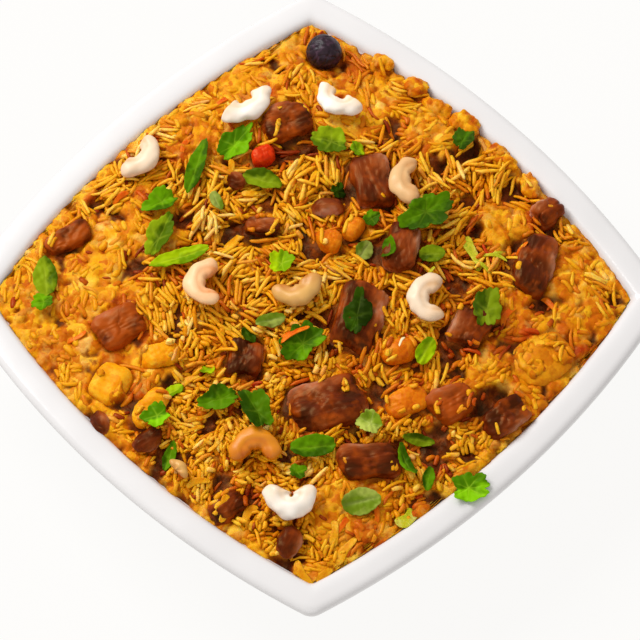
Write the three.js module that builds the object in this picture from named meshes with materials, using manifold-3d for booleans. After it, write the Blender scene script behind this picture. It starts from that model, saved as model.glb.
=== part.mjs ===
// Biryani in a white square dish with bowed sides: a heap of long rice with chunks of meat, potato
// and carrot sunk into it, one dried plum, and cashews and coriander leaves lying on top.
//
// Millimetres, +Z up. The origin is the middle of the dish's foot, and the dish's sides run along
// X and Y. The food is laid out as it is served, with one corner of the dish nearest: "across" runs
// to the right-hand corner and "away" to the far corner.

import * as THREE from "three";
import { mergeVertices } from "three/addons/utils/BufferGeometryUtils.js";
import Module from "manifold-3d";

const wasm = await Module();
wasm.setup();

// ---- Driving dimensions ----

const DISH_SPAN = 250; // corner to corner along one side, before the corners are rounded
const DISH_BOW = 17; // how far the middle of a side stands out past its corners
const DISH_HEIGHT = 62;
const RIM_WIDTH = 14.8;
const RIM_DEPTH = 6; // height of the rolled rim, from its top to its lower edge
const WALL = 5.5;
const FOOT_INSET = 52; // from the rim's outer edge to the outside of the foot
const FOOT_WIDTH = 6;
const FOOT_RECESS = 2.5;
const FOOT_BEVEL = 2;
const FLOOR = 8; // top of the dish's floor
const FLOOR_INSET = 66; // from the rim's outer edge to where the inner wall meets the floor
const BELLY_LOW = 4; // height at which the outer wall starts
const RIM_TUCK = 3; // from the rim's lower edge down to the outer wall's top
const LIP = 1; // how far the rim's inner edge goes on past RIM_WIDTH
const LIP_DROP = 3; // how far that edge lies under the rim's top
const CORNER_ROUND = 8; // rim corner, outside
const CORNER_SHARP = 3.5; // rim corner, inside
const CORNER_GAIN = 0.14; // corners grow rounder by this much for each millimetre of inset
const SIDE_STEPS = 6;
const CORNER_STEPS = 3;

const GAP = 0.35; // between pieces that touch
const HEAP_EDGE = -1.5; // heap's height at the wall, from the rim's top
const HEAP_RISE = 11; // from the heap's edge to its middle
const HEAP_WAVE = 3; // slow rises and dips of the heap
const HEAP_CELL = 7; // grid of the rice-sized bumps
const BUMP = 2; // how far the bumps rise and dip
const BUMP_SHIFT = 0.3; // how far they stray sideways, as a share of the grid
const WAVE_X = 17;
const WAVE_Y = 15;
const WAVE_ACROSS = 21;
const HEADROOM = 40; // food may stand this high over the rim

const GRAIN_REACH = 150; // loose grains lie within this distance of the middle
const GRAIN = { length: 12, width: 2.6, tried: 76 };
const CHUNK_STANDS = 6; // how far most sunk chunks' tops stand over the rice
const LEAF_THICKNESS = 0.7;
const LEAF_CUP = 1.6; // how far a leaf's edge lifts over its middle

// Sunk pieces: [across, away, turn in degrees, length, width, height, how far the top stands over
// the rice, where it isn't the usual distance]
const MEAT = [
  [-12.3, 96.2, 20, 27, 22, 16],
  [29.7, 63.4, 100, 35, 22, 18],
  [-24.9, 34, -10, 20, 12, 12, 4.5],
  [44.7, 21.7, 80, 27, 17, 15],
  [22.7, -17.8, 75, 39, 25, 16],
  [7.7, -64.1, 15, 38, 28, 18],
  [-33.3, -38.1, 80, 22, 18, 14, 4],
  [-94.3, -20, 25, 29, 22, 16, 4.5],
  [-120.1, 31.4, 30, 28, 13.5, 15, 4.5],
  [28.1, -95, 10, 32, 20, 15, 4.5],
  [68.7, -62.8, 25, 24, 18, 15],
  [110.7, 16.6, 75, 35, 20, 16],
  [117, 46.4, 40, 16, 13, 13],
  [-41, -117.3, 30, 20, 15, 14, 4],
  [94.7, -68.5, 40, 26, 18, 14, 4.5],
  [77.2, -21.7, 65, 25, 22, 13, 4],
];
const CARROT = [
  [8.7, 25.2, 0, 13, 13, 11],
  [20.6, 32.9, 60, 15, 10, 11],
  [43.1, -35.8, 10, 20, 14, 12],
  [46.7, -62.3, 20, 23, 15, 11, 4.5],
  [113.4, -34.8, 30, 35, 29, 13, 2.5],
];
const POTATO = [
  [-98.7, -50, 60, 24, 22, 14, 4.5],
  [-74.3, -36.2, 8, 21, 14, 12, 4],
  [-79.2, -64.9, 50, 25, 14, 10, 4],
];
const TOMATO = [[-24.3, 76.1, 20, 14, 12, 10]];
const PLUM = { across: 6.2, away: 138.6, width: 18, stands: 12 };

// Pieces that lie on the rice. Cashews: [across, away, way the open side faces in degrees, radius of
// the bend, its sweep in degrees, thickness]
const CASHEW = [
  [-32.3, 103.2, 124, 14, 150, 10],
  [13, 105.4, 53, 11.3, 180, 9],
  [-85.3, 75.2, 147, 11.4, 180, 9.5],
  [48, 57.8, 3, 12, 182, 9.5],
  [-52.8, -0.6, 2, 10, 240, 9],
  [-6.3, -3.9, 109, 10, 206, 10],
  [57.7, -8.8, 2, 10.2, 240, 9],
  [-27.9, -90.8, -90, 9.5, 240, 10],
  [-10.3, -117, 90, 9, 236, 12],
  [-63.1, -99.1, 40, 4.2, 170, 8],
];
const CASHEW_FLATNESS = 0.84; // height of a nut's section over its width

// Coriander leaves: [across, away, turn in degrees, length, width, depth of the teeth]
const LEAF = [
  [-38.5, 81.8, 50, 27, 17, 0.3],
  [-57.3, 69.6, 75, 31, 10.5, 0.14],
  [9.7, 83.1, -15, 22, 18, 0.3],
  [-24.8, 61.4, -20, 19, 14, 0.3],
  [-74.3, 48.9, 30, 22, 16, 0.3],
  [-75.3, 27.7, 65, 29, 15, 0.3],
  [-65.3, 15.9, 18, 29, 11, 0.14],
  [-131.3, 8.2, 95, 21, 15, 0.3],
  [-132, -6.6, 10, 13, 11, 0.3],
  [75.4, 85.7, 60, 16, 13, 0.3],
  [57.1, 38.8, 35, 30, 27, 0.3],
  [-14.3, 11.3, 80, 15, 16, 0.3],
  [86.7, -14, 80, 27, 18, 0.3],
  [22.7, -19.8, 80, 28, 16, 0.3],
  [-3.8, -33.8, 40, 25, 24, 0.3],
  [-44.3, -61.8, 20, 24, 17, 0.3],
  [-26.9, -73.4, -60, 27, 18, 0.3],
  [-75.3, -72.4, 15, 16, 16, 0.3],
  [0.7, -89.8, 5, 21, 15, 0.2],
  [76.7, -108.8, 10, 22, 20, 0.25],
  [24.3, -117.3, 15, 18, 17, 0.25],
  [28.7, -76.4, -30, 15, 15, 0.3],
];

// Too small to be pieces of their own, and part of the rice. Coriander: [across, away, turn in
// degrees, length, width]
const LEAF_BIT = [
  [-20.3, -19.8, 15, 14, 8],
  [-31.3, -26.8, 110, 10, 7],
  [38.7, 19.2, 70, 11, 9],
  [59.7, 18.2, 0, 12, 9],
  [25.7, 22.2, 60, 10, 9],
  [29.7, 39.2, 25, 10, 8],
  [55.7, -36.8, 65, 14, 9],
  [12.7, 56.2, 80, 10, 8],
  [22.7, 78.2, 120, 10, 8],
  [-47.3, 49.2, 110, 11, 6],
  [51.7, -81.8, -10, 15, 6],
  [45.7, -96.8, 115, 17, 6],
  [56.7, -103.8, 80, 12, 6],
  [-7.3, -101.8, 20, 10, 8],
  [-51.3, -45.8, 60, 8, 7],
  [-67.3, -54.8, 30, 9, 7],
  [-69.3, -89.8, 70, 14, 6],
];
// Crumbs of meat: [across, away, length]
const MEAT_BIT = [
  [8.7, 46.2, 14],
  [-79.3, -82.8, 15],
  [-11.3, -136.8, 16],
  [-103.3, -70.8, 12],
  [-12.3, -26.8, 12],
  [-38.3, 61.2, 12],
];

// ---- Small helpers ----

// Repeatable random numbers from 0 to 1.
function randomFrom(seed) {
  let state = seed;
  return () => {
    state = (state + 0x6d2b79f5) | 0;
    let mixed = Math.imul(state ^ (state >>> 15), 1 | state);
    mixed = (mixed + Math.imul(mixed ^ (mixed >>> 7), 61 | mixed)) ^ mixed;
    return ((mixed ^ (mixed >>> 14)) >>> 0) / 2 ** 32;
  };
}

// Smooth unevenness from -1 to 1: products of sines at two scales, shifted by seed.
function wobble(x, y, z, seed) {
  const coarse = Math.sin(x + 1.7 * seed) * Math.cos(y + 2.3 * seed) + Math.sin(z + 0.9 * seed);
  const fine = Math.sin(2.3 * y + seed) * Math.cos(2.1 * z - seed) * Math.sin(1.9 * x + 3.1 * seed);
  return 0.3 * coarse + 0.4 * fine;
}

// The place on the dish, in X and Y, of a spot across and away from the middle.
function spot(across, away) {
  return new THREE.Vector2(across - away, across + away).multiplyScalar(Math.SQRT1_2);
}

const SERVED = Math.PI / 4; // from X to "across"

// Moves every vertex of a geometry, and leaves position as its only attribute.
function shaped(geometry, move) {
  geometry.deleteAttribute("normal");
  geometry.deleteAttribute("uv");
  const merged = mergeVertices(geometry, 1e-4);
  const position = merged.attributes.position;
  const point = new THREE.Vector3();
  for (let i = 0; i < position.count; i++) {
    move(point.fromBufferAttribute(position, i));
    position.setXYZ(i, point.x, point.y, point.z);
  }
  return merged;
}

// One closed surface through rings of points, with a fan over the first and the last ring.
function loft(rings) {
  const count = rings[0].length;
  const positions = rings.flat().flatMap((p) => [p.x, p.y, p.z]);
  const index = [];
  for (let k = 0; k < rings.length - 1; k++) {
    for (let i = 0; i < count; i++) {
      const [a, b] = [k * count + i, k * count + ((i + 1) % count)];
      index.push(a, b, b + count, a, b + count, a + count);
    }
  }
  const close = (ring, first, isEnd) => {
    const middle = positions.length / 3;
    const centre = ring.reduce((sum, p) => sum.add(p), new THREE.Vector3()).divideScalar(count);
    positions.push(centre.x, centre.y, centre.z);
    for (let i = 0; i < count; i++) {
      const pair = [first + i, first + ((i + 1) % count)];
      index.push(middle, ...(isEnd ? pair : pair.reverse()));
    }
  };
  close(rings[0], 0, false);
  close(rings.at(-1), (rings.length - 1) * count, true);
  const geometry = new THREE.BufferGeometry();
  geometry.setAttribute("position", new THREE.Float32BufferAttribute(positions, 3));
  return geometry.setIndex(index);
}

// A mesh as a manifold solid where it stands.
function solidOf(mesh) {
  mesh.updateMatrixWorld(true);
  const source = mesh.geometry.clone().applyMatrix4(mesh.matrixWorld);
  return new wasm.Manifold(
    new wasm.Mesh({
      numProp: 3,
      vertProperties: source.attributes.position.array,
      triVerts: new Uint32Array(source.index.array),
    }),
  );
}

function geometryOf(solid) {
  const { vertProperties, triVerts } = solid.getMesh();
  const geometry = new THREE.BufferGeometry();
  geometry.setAttribute("position", new THREE.BufferAttribute(vertProperties, 3));
  return geometry.setIndex(new THREE.BufferAttribute(triVerts, 1));
}

function meshOf(name, geometry, material) {
  const mesh = new THREE.Mesh(geometry, material);
  mesh.name = name;
  return mesh;
}

function finish(color, roughness) {
  return new THREE.MeshStandardMaterial({ color, roughness, metalness: 0, flatShading: true });
}

// ---- The dish ----

// Distance from the middle to the middle of a side, and the radius of a side's arc.
const APEX = DISH_SPAN / 2 + DISH_BOW;
const ARC = (DISH_SPAN ** 2 / 4 + DISH_BOW ** 2) / (2 * DISH_BOW);

// The dish's outline moved in by inset: four arcs joined by fillets, counterclockwise at height z.
function outline(inset, fillet, z) {
  const back = ARC - APEX;
  const reach = ARC - inset;
  const corner = (Math.sqrt(2 * (reach - fillet) ** 2 - back ** 2) - back) / 2;
  const turn = Math.atan2(corner, corner + back);
  const points = [];
  for (let side = 0; side < 4; side++) {
    const around = new THREE.Matrix4().makeRotationZ((side * Math.PI) / 2);
    const add = (x, y) => points.push(new THREE.Vector3(x, y, z).applyMatrix4(around));
    for (let i = 0; i < SIDE_STEPS; i++) {
      const angle = turn * ((2 * i) / SIDE_STEPS - 1);
      add(reach * Math.cos(angle) - back, reach * Math.sin(angle));
    }
    for (let i = 0; i < CORNER_STEPS; i++) {
      const angle = turn + ((Math.PI / 2 - 2 * turn) * i) / CORNER_STEPS;
      add(corner + fillet * Math.cos(angle), corner + fillet * Math.sin(angle));
    }
  }
  return points;
}

// Rings of the bowl's wall from the low point up, a quarter of an ellipse: [inset, z] at each share.
function wallCurve(lowInset, lowZ, topInset, topZ, shares) {
  return shares.map((share) => {
    const angle = (share * Math.PI) / 2;
    return [
      lowInset + (topInset - lowInset) * Math.sin(angle),
      topZ - (topZ - lowZ) * Math.cos(angle),
    ];
  });
}

const INNER_TOP = [RIM_WIDTH + 2.5, DISH_HEIGHT - RIM_DEPTH];
const INNER_WALL = wallCurve(FLOOR_INSET, FLOOR, ...INNER_TOP, [0, 0.25, 0.5, 0.75, 1]);

function outsideRing([inset, z]) {
  return outline(inset, CORNER_ROUND + CORNER_GAIN * inset, z);
}

function insideRing([inset, z]) {
  return outline(inset, CORNER_SHARP + CORNER_GAIN * (inset - RIM_WIDTH), z);
}

function makeDish() {
  const top = DISH_HEIGHT;
  const under = top - RIM_DEPTH;
  const foot = [
    [FOOT_INSET + FOOT_WIDTH + FOOT_BEVEL, FOOT_RECESS],
    [FOOT_INSET + FOOT_WIDTH, 0],
    [FOOT_INSET, 0],
  ];
  const outerTop = [RIM_WIDTH + 2 - WALL, under - RIM_TUCK];
  const outside = wallCurve(FOOT_INSET - 1, BELLY_LOW, ...outerTop, [0, 0.3, 0.6, 1]);
  const rimOutside = [
    [1.2, under],
    [0, under + 2.5],
    [1.2, top - 1.4],
    [4.2, top - 0.3],
  ];
  const rimInside = [
    [RIM_WIDTH - 4, top],
    [RIM_WIDTH - 1, top - 0.8],
    [RIM_WIDTH + LIP, top - LIP_DROP],
  ];
  return loft([
    ...[...foot, ...outside, ...rimOutside].map(outsideRing),
    ...[...rimInside, ...INNER_WALL.toReversed()].map(insideRing),
  ]);
}

// What the food can fill: the inside of the dish less a gap, open at the top.
function makeCavity() {
  const wall = INNER_WALL.map(([inset, z]) => [inset + GAP, z + GAP]);
  const mouth = RIM_WIDTH + LIP + GAP;
  const lip = [mouth, DISH_HEIGHT - LIP_DROP];
  return loft([...wall, lip, [mouth, DISH_HEIGHT + HEADROOM]].map(insideRing));
}

// ---- The heap ----

// Height of the smooth heap: a flat-topped dome over the bowed square, with slow rises and dips.
function heapHeight(x, y) {
  const inner = DISH_SPAN / 2 - RIM_WIDTH;
  const u = x / (inner + DISH_BOW * (1 - (y / inner) ** 2));
  const v = y / (inner + DISH_BOW * (1 - (x / inner) ** 2));
  const dome = Math.max(0, 1 - u * u) * Math.max(0, 1 - v * v);
  const waves = wobble(x / WAVE_X, y / WAVE_Y, (x - y) / WAVE_ACROSS, 2);
  const uneven = waves * Math.min(1, 3 * dome);
  return DISH_HEIGHT + HEAP_EDGE + HEAP_RISE * dome ** 0.6 + HEAP_WAVE * uneven;
}

// How the heap leans at a spot, as the turn that carries +Z to its normal.
function heapLean(x, y) {
  const step = 6;
  const normal = new THREE.Vector3(
    heapHeight(x - step, y) - heapHeight(x + step, y),
    heapHeight(x, y - step) - heapHeight(x, y + step),
    2 * step,
  );
  return new THREE.Quaternion().setFromUnitVectors(new THREE.Vector3(0, 0, 1), normal.normalize());
}

// The bare heap: a block whose top follows the dome with rice-sized bumps, cut to the dish's inside.
function makeHeap(random) {
  const size = 2 * APEX;
  const cells = Math.round(size / HEAP_CELL);
  const block = shaped(new THREE.BoxGeometry(size, size, DISH_HEIGHT, cells, cells), (p) => {
    const isTop = p.z > 0;
    const isEdge = Math.max(Math.abs(p.x), Math.abs(p.y)) > size / 2 - 1;
    if (isTop && !isEdge) {
      p.x += (2 * random() - 1) * HEAP_CELL * BUMP_SHIFT;
      p.y += (2 * random() - 1) * HEAP_CELL * BUMP_SHIFT;
    }
    const bump = BUMP * (2 * random() - 1);
    p.z = isTop ? heapHeight(p.x, p.y) + bump : 0;
  });
  return solidOf(new THREE.Mesh(block)).intersect(solidOf(new THREE.Mesh(makeCavity())));
}

// ---- The pieces ----

// A cut chunk with worn edges: a box drawn in at its edges and corners, which makes it a rounded
// cube, then stretched to size and made uneven.
function chunk(length, width, height, seed, unevenness) {
  return shaped(new THREE.BoxGeometry(2, 2, 2, 2, 2, 2), (p) => {
    const squareness = 4;
    const reach = (p.x ** squareness + p.y ** squareness + p.z ** squareness) ** (1 / squareness);
    const swell = (0.96 + unevenness * wobble(2.6 * p.x, 2.6 * p.y, 2.6 * p.z, seed)) / reach;
    p.multiplyScalar(swell).multiply(new THREE.Vector3(length / 2, width / 2, height / 2));
  });
}

function plum(width, height, seed) {
  return shaped(new THREE.IcosahedronGeometry(1, 2), (p) => {
    const swell = 1 + 0.05 * wobble(3 * p.x, 3 * p.y, 3 * p.z, seed);
    p.multiplyScalar(swell).multiply(new THREE.Vector3(width / 2, width / 2, height / 2));
  });
}

// A kidney shape: a tube of oval sections along an arc of a given sweep, blunt at both tips and
// fatter towards one. Its open side faces +X and it lies flat, with its middle at the origin.
function cashew(bend, sweep, thickness) {
  const sides = 6;
  const rings = 8;
  const shift = (bend * (1 + Math.cos(sweep / 2))) / 2;
  return loft(
    Array.from({ length: rings }, (_, k) => {
      const share = (k + 0.25) / (rings - 0.5);
      const angle = Math.PI + sweep * (share - 0.5);
      const along = 2 * share - 1;
      const radius = (thickness / 2) * (1 - along ** 4) ** 0.5 * (1 - 0.14 * along);
      return Array.from({ length: sides }, (_, i) => {
        const around = (2 * Math.PI * i) / sides;
        const reach = bend + radius * Math.sin(around);
        const up = CASHEW_FLATNESS * radius * Math.cos(around);
        return new THREE.Vector3(reach * Math.cos(angle) + shift, reach * Math.sin(angle), up);
      });
    }),
  );
}

// A thin wavy leaf: two fans of triangles with the same toothed edge, its tip towards +X. It is
// narrower towards its stalk, and cupped, because both middles lie low.
function leaf(length, width, tooth, seed) {
  const points = 12;
  const edge = (i, lift) => {
    const around = (2 * Math.PI * i) / points;
    const reach = i % 2 ? 1 - tooth : 1;
    const narrow = 0.82 + 0.18 * Math.cos(around - 0.9);
    const wave = LEAF_CUP * (0.5 + 0.5 * Math.cos(2 * around + seed));
    return new THREE.Vector3(
      (length / 2) * reach * Math.cos(around),
      (width / 2) * reach * narrow * Math.sin(around),
      wave + lift,
    );
  };
  const face = (lift) => Array.from({ length: points }, (_, i) => edge(i, lift));
  const geometry = loft([face(0), face(LEAF_THICKNESS)]);
  geometry.attributes.position.setXYZ(2 * points, 0, 0, 0);
  geometry.attributes.position.setXYZ(2 * points + 1, 0, 0, LEAF_THICKNESS);
  return geometry;
}

// A grain of cooked rice, its length along X, with few sides.
function grain(length, width) {
  return shaped(new THREE.SphereGeometry(1, 5, 4).rotateZ(Math.PI / 2), (p) => {
    p.multiply(new THREE.Vector3(length / 2, width / 2, width / 2));
  });
}

// ---- Placing ----

// Stands a mesh on the heap at a spot, turned about the heap's normal, its middle lifted over it.
function stand(mesh, across, away, turn, lift) {
  const { x, y } = spot(across, away);
  mesh.position.set(x, y, heapHeight(x, y) + lift);
  const yaw = new THREE.Quaternion().setFromAxisAngle(
    new THREE.Vector3(0, 0, 1),
    SERVED + THREE.MathUtils.degToRad(turn),
  );
  mesh.quaternion.copy(heapLean(x, y)).multiply(yaw);
  return mesh;
}

// The same mesh grown by the gap on every side, for cutting its seat.
function grown(mesh, size) {
  const bigger = mesh.clone();
  bigger.scale.set(...size.map((extent) => (extent + 2 * GAP) / extent));
  return solidOf(bigger);
}

function boxesMeet(a, b) {
  return [0, 1, 2].every((k) => a.min[k] <= b.max[k] && b.min[k] <= a.max[k]);
}

function isClear(solid, others) {
  const box = solid.boundingBox();
  return others.every(
    (other) => !boxesMeet(box, other.boundingBox()) || solid.intersect(other).volume() < 1e-6,
  );
}

// Lowers a mesh until it nearly rests on what is already there, and adds it to that.
function settle(mesh, others) {
  const start = mesh.position.z;
  let [low, high] = [-4, 16];
  for (let i = 0; i < 12; i++) {
    const lift = (low + high) / 2;
    mesh.position.z = start + lift;
    if (isClear(solidOf(mesh), others)) {
      high = lift;
    } else {
      low = lift;
    }
  }
  mesh.position.z = start + high + GAP;
  others.push(solidOf(mesh));
  return mesh;
}

// ---- The whole ----

const LOOKS = {
  dish: finish(0xf1efec, 0.2),
  rice: finish(0xd9962b, 0.6),
  meat: finish(0x6b3317, 0.55),
  carrot: finish(0xe57a14, 0.4),
  potato: finish(0xe8a526, 0.5),
  tomato: finish(0xc5340f, 0.35),
  plum: finish(0x231c2f, 0.3),
  cashew: finish(0xe8c08a, 0.5),
  leaf: finish(0x3f8a1e, 0.5),
};

function numbered(name, index) {
  return `${name}_${String(index + 1).padStart(2, "0")}`;
}

const random = randomFrom(11);
const dish = meshOf("dish", makeDish(), LOOKS.dish);
const sunk = [];
const seats = [];

function sinkAll(name, rows, unevenness) {
  rows.forEach(([across, away, turn, length, width, height, stands = CHUNK_STANDS], i) => {
    const geometry = chunk(length, width, height, i + name.length, unevenness);
    const mesh = meshOf(numbered(name, i), geometry, LOOKS[name]);
    stand(mesh, across, away, turn, stands - height / 2);
    sunk.push(mesh);
    seats.push(grown(mesh, [length, width, height]));
  });
}
sinkAll("meat", MEAT, 0.16);
sinkAll("carrot", CARROT, 0.08);
sinkAll("potato", POTATO, 0.1);
sinkAll("tomato", TOMATO, 0.16);

const fruit = meshOf("plum", plum(PLUM.width, PLUM.width, 3), LOOKS.plum);
stand(fruit, PLUM.across, PLUM.away, 0, PLUM.stands - PLUM.width / 2);
sunk.push(fruit);
seats.push(grown(fruit, [PLUM.width, PLUM.width, PLUM.width]));

// The rice: the heap with the seats cut out, and small bits and loose grains fused on.
const lying = [
  ...CASHEW.map(([across, away, , bend, , thickness]) => [across, away, bend + thickness / 2]),
  ...LEAF.map(([across, away, , length]) => [across, away, length / 2]),
];

function isUnderLying(across, away, reach) {
  return lying.some(([a, b, radius]) => Math.hypot(a - across, b - away) < radius + reach);
}

function makeRice() {
  const heap = makeHeap(random).subtract(wasm.Manifold.union(seats));
  const obstacles = [solidOf(dish), ...seats];
  const fused = [heap];
  const fuse = (mesh, across, away, turn, lift) => {
    const solid = solidOf(stand(mesh, across, away, turn, lift));
    if (isClear(solid, obstacles)) {
      fused.push(solid);
    }
  };
  LEAF_BIT.forEach(([across, away, turn, length, width], i) => {
    const tilt = 0.35; // one side stands out of the rice and the other is buried
    const geometry = leaf(length, width, 0.2, i).rotateX(tilt);
    fuse(new THREE.Mesh(geometry), across, away, turn, 0.2);
  });
  MEAT_BIT.forEach(([across, away, length], i) => {
    fuse(new THREE.Mesh(chunk(length, length * 0.7, 8, i, 0.15)), across, away, 35 * i, -1.5);
  });
  // Loose grains on a sunflower spiral, which spreads them evenly.
  const goldenTurn = Math.PI * (3 - Math.sqrt(5));
  for (let i = 0; i < GRAIN.tried; i++) {
    const radius = GRAIN_REACH * Math.sqrt((i + 0.5) / GRAIN.tried);
    const across = radius * Math.cos(i * goldenTurn);
    const away = radius * Math.sin(i * goldenTurn);
    const length = GRAIN.length * (0.8 + 0.4 * random());
    const turn = 180 * random();
    if (!isUnderLying(across, away, length / 2)) {
      const mesh = new THREE.Mesh(grain(length, GRAIN.width));
      fuse(mesh, across, away, turn, BUMP * 0.3);
    }
  }
  const bodies = wasm.Manifold.union(fused).decompose();
  return bodies.reduce((most, body) => (body.volume() > most.volume() ? body : most));
}

const riceSolid = makeRice();
const rice = meshOf("rice", geometryOf(riceSolid), LOOKS.rice);

// What lies on top comes down on the rice and on the pieces that stand out of it.
const standing = [solidOf(dish), riceSolid, ...sunk.map(solidOf)];
const cashews = CASHEW.map(([across, away, faces, bend, sweep, thickness], i) => {
  const geometry = cashew(bend, THREE.MathUtils.degToRad(sweep), thickness);
  const mesh = meshOf(numbered("cashew", i), geometry, LOOKS.cashew);
  return settle(stand(mesh, across, away, faces, thickness / 2), standing);
});
const leaves = LEAF.map(([across, away, turn, length, width, tooth], i) => {
  const mesh = meshOf(numbered("leaf", i), leaf(length, width, tooth, i), LOOKS.leaf);
  return settle(stand(mesh, across, away, turn, 1), standing);
});

const biryani = new THREE.Group();
biryani.add(dish, rice, ...sunk, ...cashews, ...leaves);

export default biryani;
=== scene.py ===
import bpy
import numpy as np
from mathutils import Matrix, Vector


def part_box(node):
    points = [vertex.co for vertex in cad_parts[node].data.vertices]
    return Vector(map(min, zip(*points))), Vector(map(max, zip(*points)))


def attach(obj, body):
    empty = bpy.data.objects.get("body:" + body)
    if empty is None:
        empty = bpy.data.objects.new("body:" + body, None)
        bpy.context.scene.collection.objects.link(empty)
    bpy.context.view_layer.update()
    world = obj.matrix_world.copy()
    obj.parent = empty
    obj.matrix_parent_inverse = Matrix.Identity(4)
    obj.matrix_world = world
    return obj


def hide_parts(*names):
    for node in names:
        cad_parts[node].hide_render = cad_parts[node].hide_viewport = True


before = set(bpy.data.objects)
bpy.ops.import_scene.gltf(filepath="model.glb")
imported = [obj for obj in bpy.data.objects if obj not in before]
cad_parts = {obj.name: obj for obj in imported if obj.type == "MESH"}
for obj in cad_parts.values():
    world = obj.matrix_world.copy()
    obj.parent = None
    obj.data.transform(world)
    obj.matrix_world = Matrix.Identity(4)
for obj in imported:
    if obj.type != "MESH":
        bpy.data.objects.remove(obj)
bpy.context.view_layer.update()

# Biryani in a white square dish with bowed sides. "Across" runs to the dish's right-hand corner and
# "away" to its far corner, as it is served with one corner nearest.

MM = 0.001
rng = np.random.default_rng(7)

# ---- The dish's driving dimensions ----

_, RIM_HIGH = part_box("dish")
APEX = RIM_HIGH.x  # from the middle to the middle of a side
DISH_HEIGHT = RIM_HIGH.z
DISH_BOW = 17 * MM
DISH_SPAN = 2 * (APEX - DISH_BOW)
ARC = (DISH_SPAN**2 / 4 + DISH_BOW**2) / (2 * DISH_BOW)
BACK = ARC - APEX  # how far a side's arc is centred behind the dish's middle
RIM_WIDTH = 14.8 * MM
RIM_DEPTH = 6 * MM
WALL = 5.5 * MM
FLOOR = 8 * MM
FLOOR_INSET = 66 * MM  # where the inner wall runs out into the floor
FOOT_TOP = (51 * MM, 4 * MM)  # where the outer wall meets the foot: inset and height
CORNER_ROUND = 8 * MM
CORNER_SHARP = 3.5 * MM
CORNER_GAIN = 0.14

# ---- The heap's driving dimensions ----

HEAP_EDGE = -1.5 * MM
HEAP_RISE = 11 * MM
HEAP_WAVE = 3 * MM
LAYER_DEPTH = 5.6 * MM  # how deep the loose grains go before the dark body
SOFT_DEPTH = 2.8 * MM  # how deep the body lies where the rice is soft and clumped
GRAIN_LENGTH = (8 * MM, 15 * MM)
BROKEN_LENGTH = (3.2 * MM, 7 * MM)
GRAIN_WIDTH = (1.7 * MM, 2.4 * MM)
BROKEN_WIDTH = (1.6 * MM, 3 * MM)
SOFT_LENGTH = (4.5 * MM, 9 * MM)
SOFT_WIDTH = (2.4 * MM, 3.8 * MM)
FLAKE_LENGTH = (4 * MM, 11 * MM)
FLAKE_WIDTH = (3 * MM, 7 * MM)
SOFT_RELIEF = 1.0 * MM  # how far the soft grains stand over the flakes
CHUNK_ROOM = 0.45 * MM  # how far grains may stand over the bare part of a chunk
MARGIN_ROOM = 2.8 * MM  # how far they may stand over its covered margins
BODY_DEPTH = 17 * MM  # how far under the rim's top the rice's body ends
BODY_LANES = 300
FLAKE_TRIES = 18000
SOFT_TRIES = 2200
LOOSE_TRIES = 80000
ASTRAY_SHARE = 0.16  # of the grains, those that lie astray
ASTRAY_SPREAD = 1.5  # how far the turns of those spread, in radians
ALIKE_SPREAD = 0.28  # how far the turns of the others spread
STEEPEST_GRAIN = 0.5
STEEPEST_BIT = 0.6
BIT_OVER_LEAF = 3.2 * MM  # how high over a leaf's or a nut's underside a small thing lies
HIGHEST = 1.0  # a height over everything in the dish
MAP_CELL = 0.6 * MM
MAP_HALF = 0.1434

# Soft, clumped rice: [across, away, radius] in millimetres.
CLUMPS = [
    (-117.3, -6.8, 44), (-79.3, 35.2, 26), (-103, 32, 20), (-84, 50, 16), (-95.3, -44.8, 34),
    (-51.3, 93.2, 26), (-28, 114, 26), (-6, 138, 18), (20.7, 111.2, 30), (60.7, 93.2, 22),
    (118.7, -24.8, 46), (96.7, 39.2, 20), (122, 13, 20), (88.7, -58.8, 22), (18.7, -120.8, 26),
]

# Patches of the rice: [across, away, radius, strength], in millimetres and up to 1. Red masala:
STAINS = [
    (87, 21, 6, 1), (112, 43, 8, 1), (21, 131, 12, 0.8), (-69, -77, 4, 1),
    (-128, -32, 13, 0.6), (-85, -25, 9, 0.9), (-24, 117, 8, 0.6), (56, -114, 8, 0.9),
    (28, -134, 12, 0.7), (-40, -6, 12, 0.6), (-68, 78, 10, 0.5), (-65, 8, 8, 0.8),
    (54, 80, 8, 0.6), (-86, 57, 6, 0.8), (-103, 42, 5, 0.7), (14, 110, 5, 0.8),
]
# Pale and yellow:
BRIGHTS = [
    (-75, -36, 13, 1), (34, 106, 10, 0.8), (56, 94, 8, 0.9), (42, 117, 10, 0.7),
    (60, 68, 8, 0.9), (64, 26, 7, 1), (102, 40, 8, 0.8), (-54, 46, 6, 0.8),
    (-8, 32, 9, 0.9), (-47, 30, 7, 0.7), (-61, -24, 7, 1), (-62, -47, 9, 0.8),
    (-57, -74, 11, 0.9), (-101, -68, 7, 0.8), (-32, -101, 8, 0.7), (-56, -109, 8, 0.7),
    (16, -89, 7, 1), (33, -86, 7, 0.8), (60, -49, 9, 0.8), (75, -88, 8, 0.8),
    (17, -134, 10, 0.8), (8, -48, 7, 0.7), (-112, 5, 10, 0.6),
]
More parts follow.
